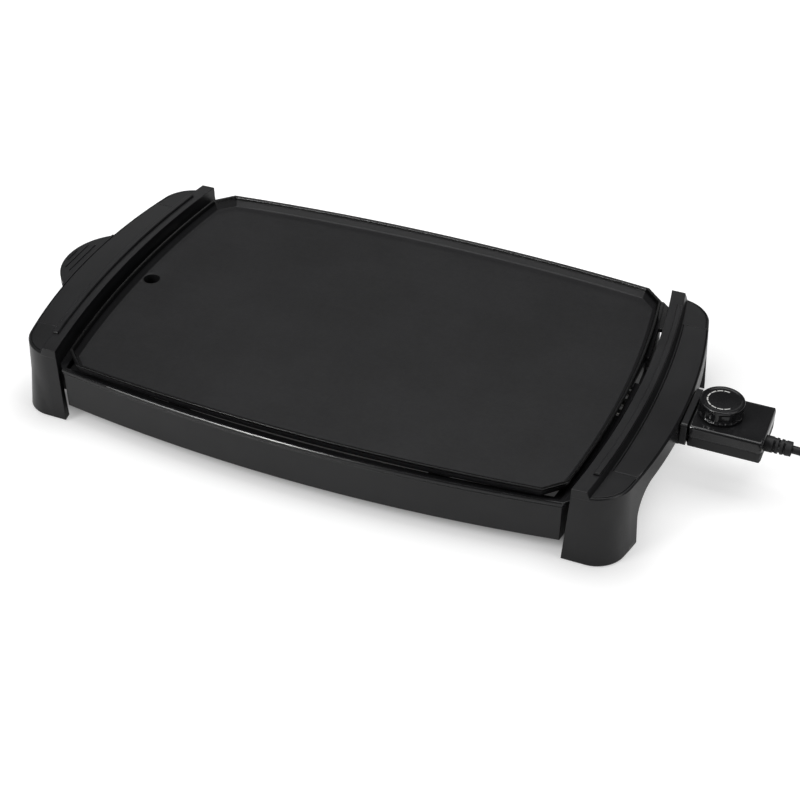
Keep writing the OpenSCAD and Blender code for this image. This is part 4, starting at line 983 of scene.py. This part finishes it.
@dataclass
class Controller:
    """Knob and strain relief of the plug-in controller.

    The foot's rows give an inset from the full radius, a height and the share of the flutes. The
    neck's rows are the same, with the depth under the top in place of the height. The grip has an
    inset, the height where it starts and the depth where it ends. The dish's rows give a radius
    and a depth. The slots' rows are shares of the strain relief's length.
    """

    flutes: int = 10
    flute_radius: float = 0.0090
    flute_centre: float = 0.0267
    soft: float = 0.0003
    foot: tuple[tuple[float, float, float], ...] = (
        (0.0016, 0.0, 1.0), (0.0009, 0.0, 1.0), (0.0002, 0.0006, 0.0), (0.0, 0.0014, 0.0),
        (0.0, 0.0026, 0.0), (0.0002, 0.0030, 0.6), (0.0004, 0.0034, 1.0))
    grip: tuple[float, float, float] = (0.0004, 0.0034, 0.0042)
    neck: tuple[tuple[float, float, float], ...] = (
        (0.0004, 0.0036, 0.7), (0.0003, 0.0031, 0.2), (0.0003, 0.0026, 0.0),
        (0.0003, 0.0013, 0.0))
    round_over: float = 0.0012
    dish: tuple[tuple[float, float], ...] = (
        (0.0168, 0.0), (0.0165, 0.00002), (0.0162, 0.0003), (0.0159, 0.00042),
        (0.0150, 0.00044), (0.0110, 0.00052), (0.0060, 0.00058), (0.0020, 0.0006))
    sides: int = 240
    slots: tuple[tuple[float, float], ...] = ((0.40, 0.47), (0.56, 0.63), (0.72, 0.79))
    slot_radius: float = 0.0042
    narrowing: float = 0.10
    sleeve_end: float = 0.0007
    sleeve_sides: int = 96
    sleeve_rows: int = 121

    def knob(self) -> bpy.types.Object:
        """Fluted knob.

        At the angle t from a flute's middle a ray meets the flute's circle, of radius f and with
        its centre at c, at c cos t - sqrt(f^2 - c^2 sin^2 t). The knob's radius there is the
        lower of that and the full radius, blended by a soft minimum. The profile's rows take that
        radius less an inset that grows in the chamfers, and the dished top is round inside them.

        Returns:
            The object.
        """
        low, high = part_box("control_knob")
        full, tall = (high.x - low.x) / 2, high.z - low.z
        a = np.linspace(0, 2 * np.pi, self.sides, endpoint=False)
        pitch = 2 * np.pi / self.flutes
        off = (a + pitch / 2) % pitch - pitch / 2
        c, f = self.flute_centre, self.flute_radius
        inside = np.clip(f**2 - (c * np.sin(off)) ** 2, 0, None)
        meets = np.where(inside > 0, c * np.cos(off) - np.sqrt(inside), full + 0.01)
        k = self.soft
        wall = -k * np.log(np.exp(-meets / k + full / k) + 1.0) + full
        inset, start, end = self.grip
        rows = list(self.foot) + [(inset, z, 1.0) for z in np.linspace(start, tall - end, 9)]
        rows += [(inset, tall - sink, cut) for inset, sink, cut in self.neck]
        rim, bend = self.neck[-1][0], np.radians(np.linspace(12, 90, 7))
        rows += [(rim + self.round_over * (1 - math.cos(b)),
                  tall - self.round_over + self.round_over * math.sin(b), 0.0) for b in bend]
        insets, heights, cuts = (np.array(column)[:, None] for column in zip(*rows))
        radius = full - (full - wall) * cuts - insets
        dish = np.array(self.dish)
        radius = np.concatenate([radius, np.repeat(dish[:, :1], self.sides, axis=1)])
        height = np.concatenate([heights, tall - dish[:, 1:]]) + np.zeros_like(radius)
        points = np.stack([radius * np.cos(a), radius * np.sin(a), height], -1)
        points += np.array([(low.x + high.x) / 2, (low.y + high.y) / 2, low.z])
        knob = sheet_mesh("knob_shell", points, wrap_v=True, cap_low=True, cap_high=True)
        return smooth(knob, 38)

    def relief(self) -> bpy.types.Object:
        """Strain relief: a sleeve along X with three collars and half slots between them.

        The radius is the collars' where a row lies in a collar. In the gaps it drops to the neck's
        on two opposite quarters, and the next gap turns those quarters by a right angle.

        Returns:
            The object.
        """
        low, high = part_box("strain_relief")
        full, length = (high.z - low.z) / 2, high.x - low.x
        a = np.linspace(0, 2 * np.pi, self.sleeve_sides, endpoint=False)[None, :]
        u = np.linspace(0, 1, self.sleeve_rows)[:, None]
        x = u * length + np.zeros_like(a)
        taper = 1.0 - self.narrowing * np.clip((u - 0.3) / 0.7, 0, 1)
        ends = np.minimum(x, length - x) / self.sleeve_end + 0.35
        radius = full * taper * np.minimum(1.0, ends ** 0.5)
        for number, (start, end) in enumerate(self.slots):
            open_side = np.clip(np.abs(np.cos(a + number * np.pi / 2)) * 4 - 1.2, 0, 1)
            radius -= (full * taper - self.slot_radius) * open_side * ((start <= u) & (u <= end))
        points = np.stack([x, radius * np.cos(a), radius * np.sin(a)], -1)
        points += np.array([low.x, (low.y + high.y) / 2, (low.z + high.z) / 2])
        sleeve = sheet_mesh("relief_sleeve", points, wrap_v=True, cap_low=True, cap_high=True)
        return smooth(sleeve, 40)

    def build(self, rubber: bpy.types.Material) -> None:
        """Makes the pieces and puts them on their bodies.

        Args:
            rubber: Finish of the strain relief.
        """
        low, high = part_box("control_knob")
        knob = self.knob()
        middle = ((low.x + high.x) / 2, (low.y + high.y) / 2, high.z)
        knob.data.materials.append(RingMark(centre=middle).material())
        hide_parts("control_knob")
        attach(knob, "knob")
        sleeve = self.relief()
        sleeve.data.materials.append(rubber)
        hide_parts("strain_relief")
        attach(sleeve, "controller")
        for piece in (knob, sleeve):
            log.info("%s: %d points", piece.name, len(piece.data.vertices))


# ---- fittings that keep their CAD shape -------------------------------------------------------


@dataclass
class Fittings:
    """CAD nodes that are shown as they are, each in its own finish."""

    black: Moulding = Moulding("phenolic_black", (0.0125, 0.0125, 0.0135), roughness=0.31,
                               edge=0.0009)
    panel: Moulding = Moulding("panel_black", (0.014, 0.014, 0.015), Grain.SATIN, 0.31,
                               edge=0.0008)
    gloss: Moulding = Moulding("polished_black", (0.018, 0.018, 0.019), Grain.POLISHED, 0.1, 0.5,
                               edge=0.0022)
    shell: Moulding = Moulding("shell_black", (0.015, 0.015, 0.016), Grain.SPARK, 0.5, edge=0.0006)
    brown: Moulding = Moulding("brown_phenolic", (0.16, 0.075, 0.035), Grain.SATIN, 0.45)
    nylon: Moulding = Moulding("nylon_strip", (0.03, 0.03, 0.031), Grain.SATIN, 0.4)
    braid: Moulding = Moulding("braided_sleeve", (0.66, 0.62, 0.52), Grain.SPARK, 0.8)

    shading: float = 32.0

    def dress(self) -> dict[str, bpy.types.Material]:
        """Gives every shown CAD node its finish.

        Returns:
            The materials by their names.
        """
        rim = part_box("griddle_plate")[1].z
        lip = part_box("base_frame")[1].z
        base = Moulding("base_black", (0.015, 0.015, 0.016), roughness=0.4, edge=0.0012,
                        polished=(lip - 0.0045, lip - 0.0035))
        made = {f.name: f.material() for f in (
            self.black, base, self.panel, self.gloss, self.shell, self.brown, self.nylon,
            self.braid, Coating(rim=(rim - 0.0045, rim - 0.0015)), Stoneware(),
            Rubber("foot_rubber"), Rubber("relief_rubber"),
            Rubber("cord_sheath", (0.013, 0.013, 0.014), 0.45), Drawn("zinc", Metal.ZINC),
            Drawn("nickel", Metal.NICKEL), Drawn("sheath", Metal.SHEATH),
            Drawn("sheet", Metal.SHEET), Drawn("stainless", Metal.STAINLESS),
            Drawn("brass", Metal.BRASS))}
        worn = {
            "griddle_plate": "non_stick_coating", "heating_element": "sheath",
            "terminal_pins": "nickel", "terminal_insulators": "ceramic", "element_clamps": "zinc",
            "clamp_screws": "zinc", "heat_reflector": "sheet", "reflector_screws": "zinc",
            "base_frame": "base_black", "plate_brackets": "zinc", "plate_screws": "zinc",
            "bracket_screws": "zinc", "left_handle": "phenolic_black",
            "right_handle": "phenolic_black", "handle_screws": "zinc",
            "left_grip_cover": "panel_black", "right_grip_cover": "panel_black",
            "cover_screws": "zinc", "left_ridge_bar": "panel_black",
            "right_ridge_bar": "panel_black", "terminal_guard": "phenolic_black",
            "guard_screws": "zinc", "rubber_feet": "foot_rubber", "tray_rails": "zinc",
            "rail_screws": "zinc", "drip_tray": "phenolic_black", "housing_top": "polished_black",
            "housing_bottom": "shell_black", "housing_screws": "zinc", "probe_tube": "stainless",
            "probe_ferrule": "nickel", "contact_sleeves": "brass", "contact_block": "ceramic",
            "thermostat_base": "brown_phenolic", "bimetal_leaf": "brass",
            "inner_wires": "braided_sleeve", "cord_clamp": "nylon_strip",
            "knob_spindle": "brass", "cord_tie": "nylon_strip", "plug_body": "relief_rubber",
            "plug_pins": "brass"}
        for node, finish in worn.items():
            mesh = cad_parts[node].data
            mesh.materials.clear()
            mesh.materials.append(made[finish])
            mesh.shade_smooth()
            mesh.set_sharp_from_angle(angle=math.radians(self.shading))
            log.info("%s: %s", node, finish)
        soft = {
            EdgeBreak(0.0009, 3): ("griddle_plate",),
            EdgeBreak(0.0): ("base_frame", "left_handle", "right_handle", "terminal_guard",
                             "left_ridge_bar", "right_ridge_bar", "plug_body", "drip_tray"),
            EdgeBreak(0.0004, 2): ("left_grip_cover", "right_grip_cover", "housing_bottom"),
            EdgeBreak(0.0024, 5, rim=0.0006): ("housing_top",)}
        for edge, nodes in soft.items():
            for node in nodes:
                edge.cut(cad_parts[node])
        return made


def main() -> None:
    """Builds the studio and every sub-assembly."""
    logging.basicConfig(level=logging.INFO, format="%(name)s %(message)s")
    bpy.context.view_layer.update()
    Studio().build("griddle_plate")
    finishes = Fittings().dress()
    Controller().build(finishes["relief_rubber"])
    CordSet().build(finishes["cord_sheath"])


if __name__ == "__main__":
    main()
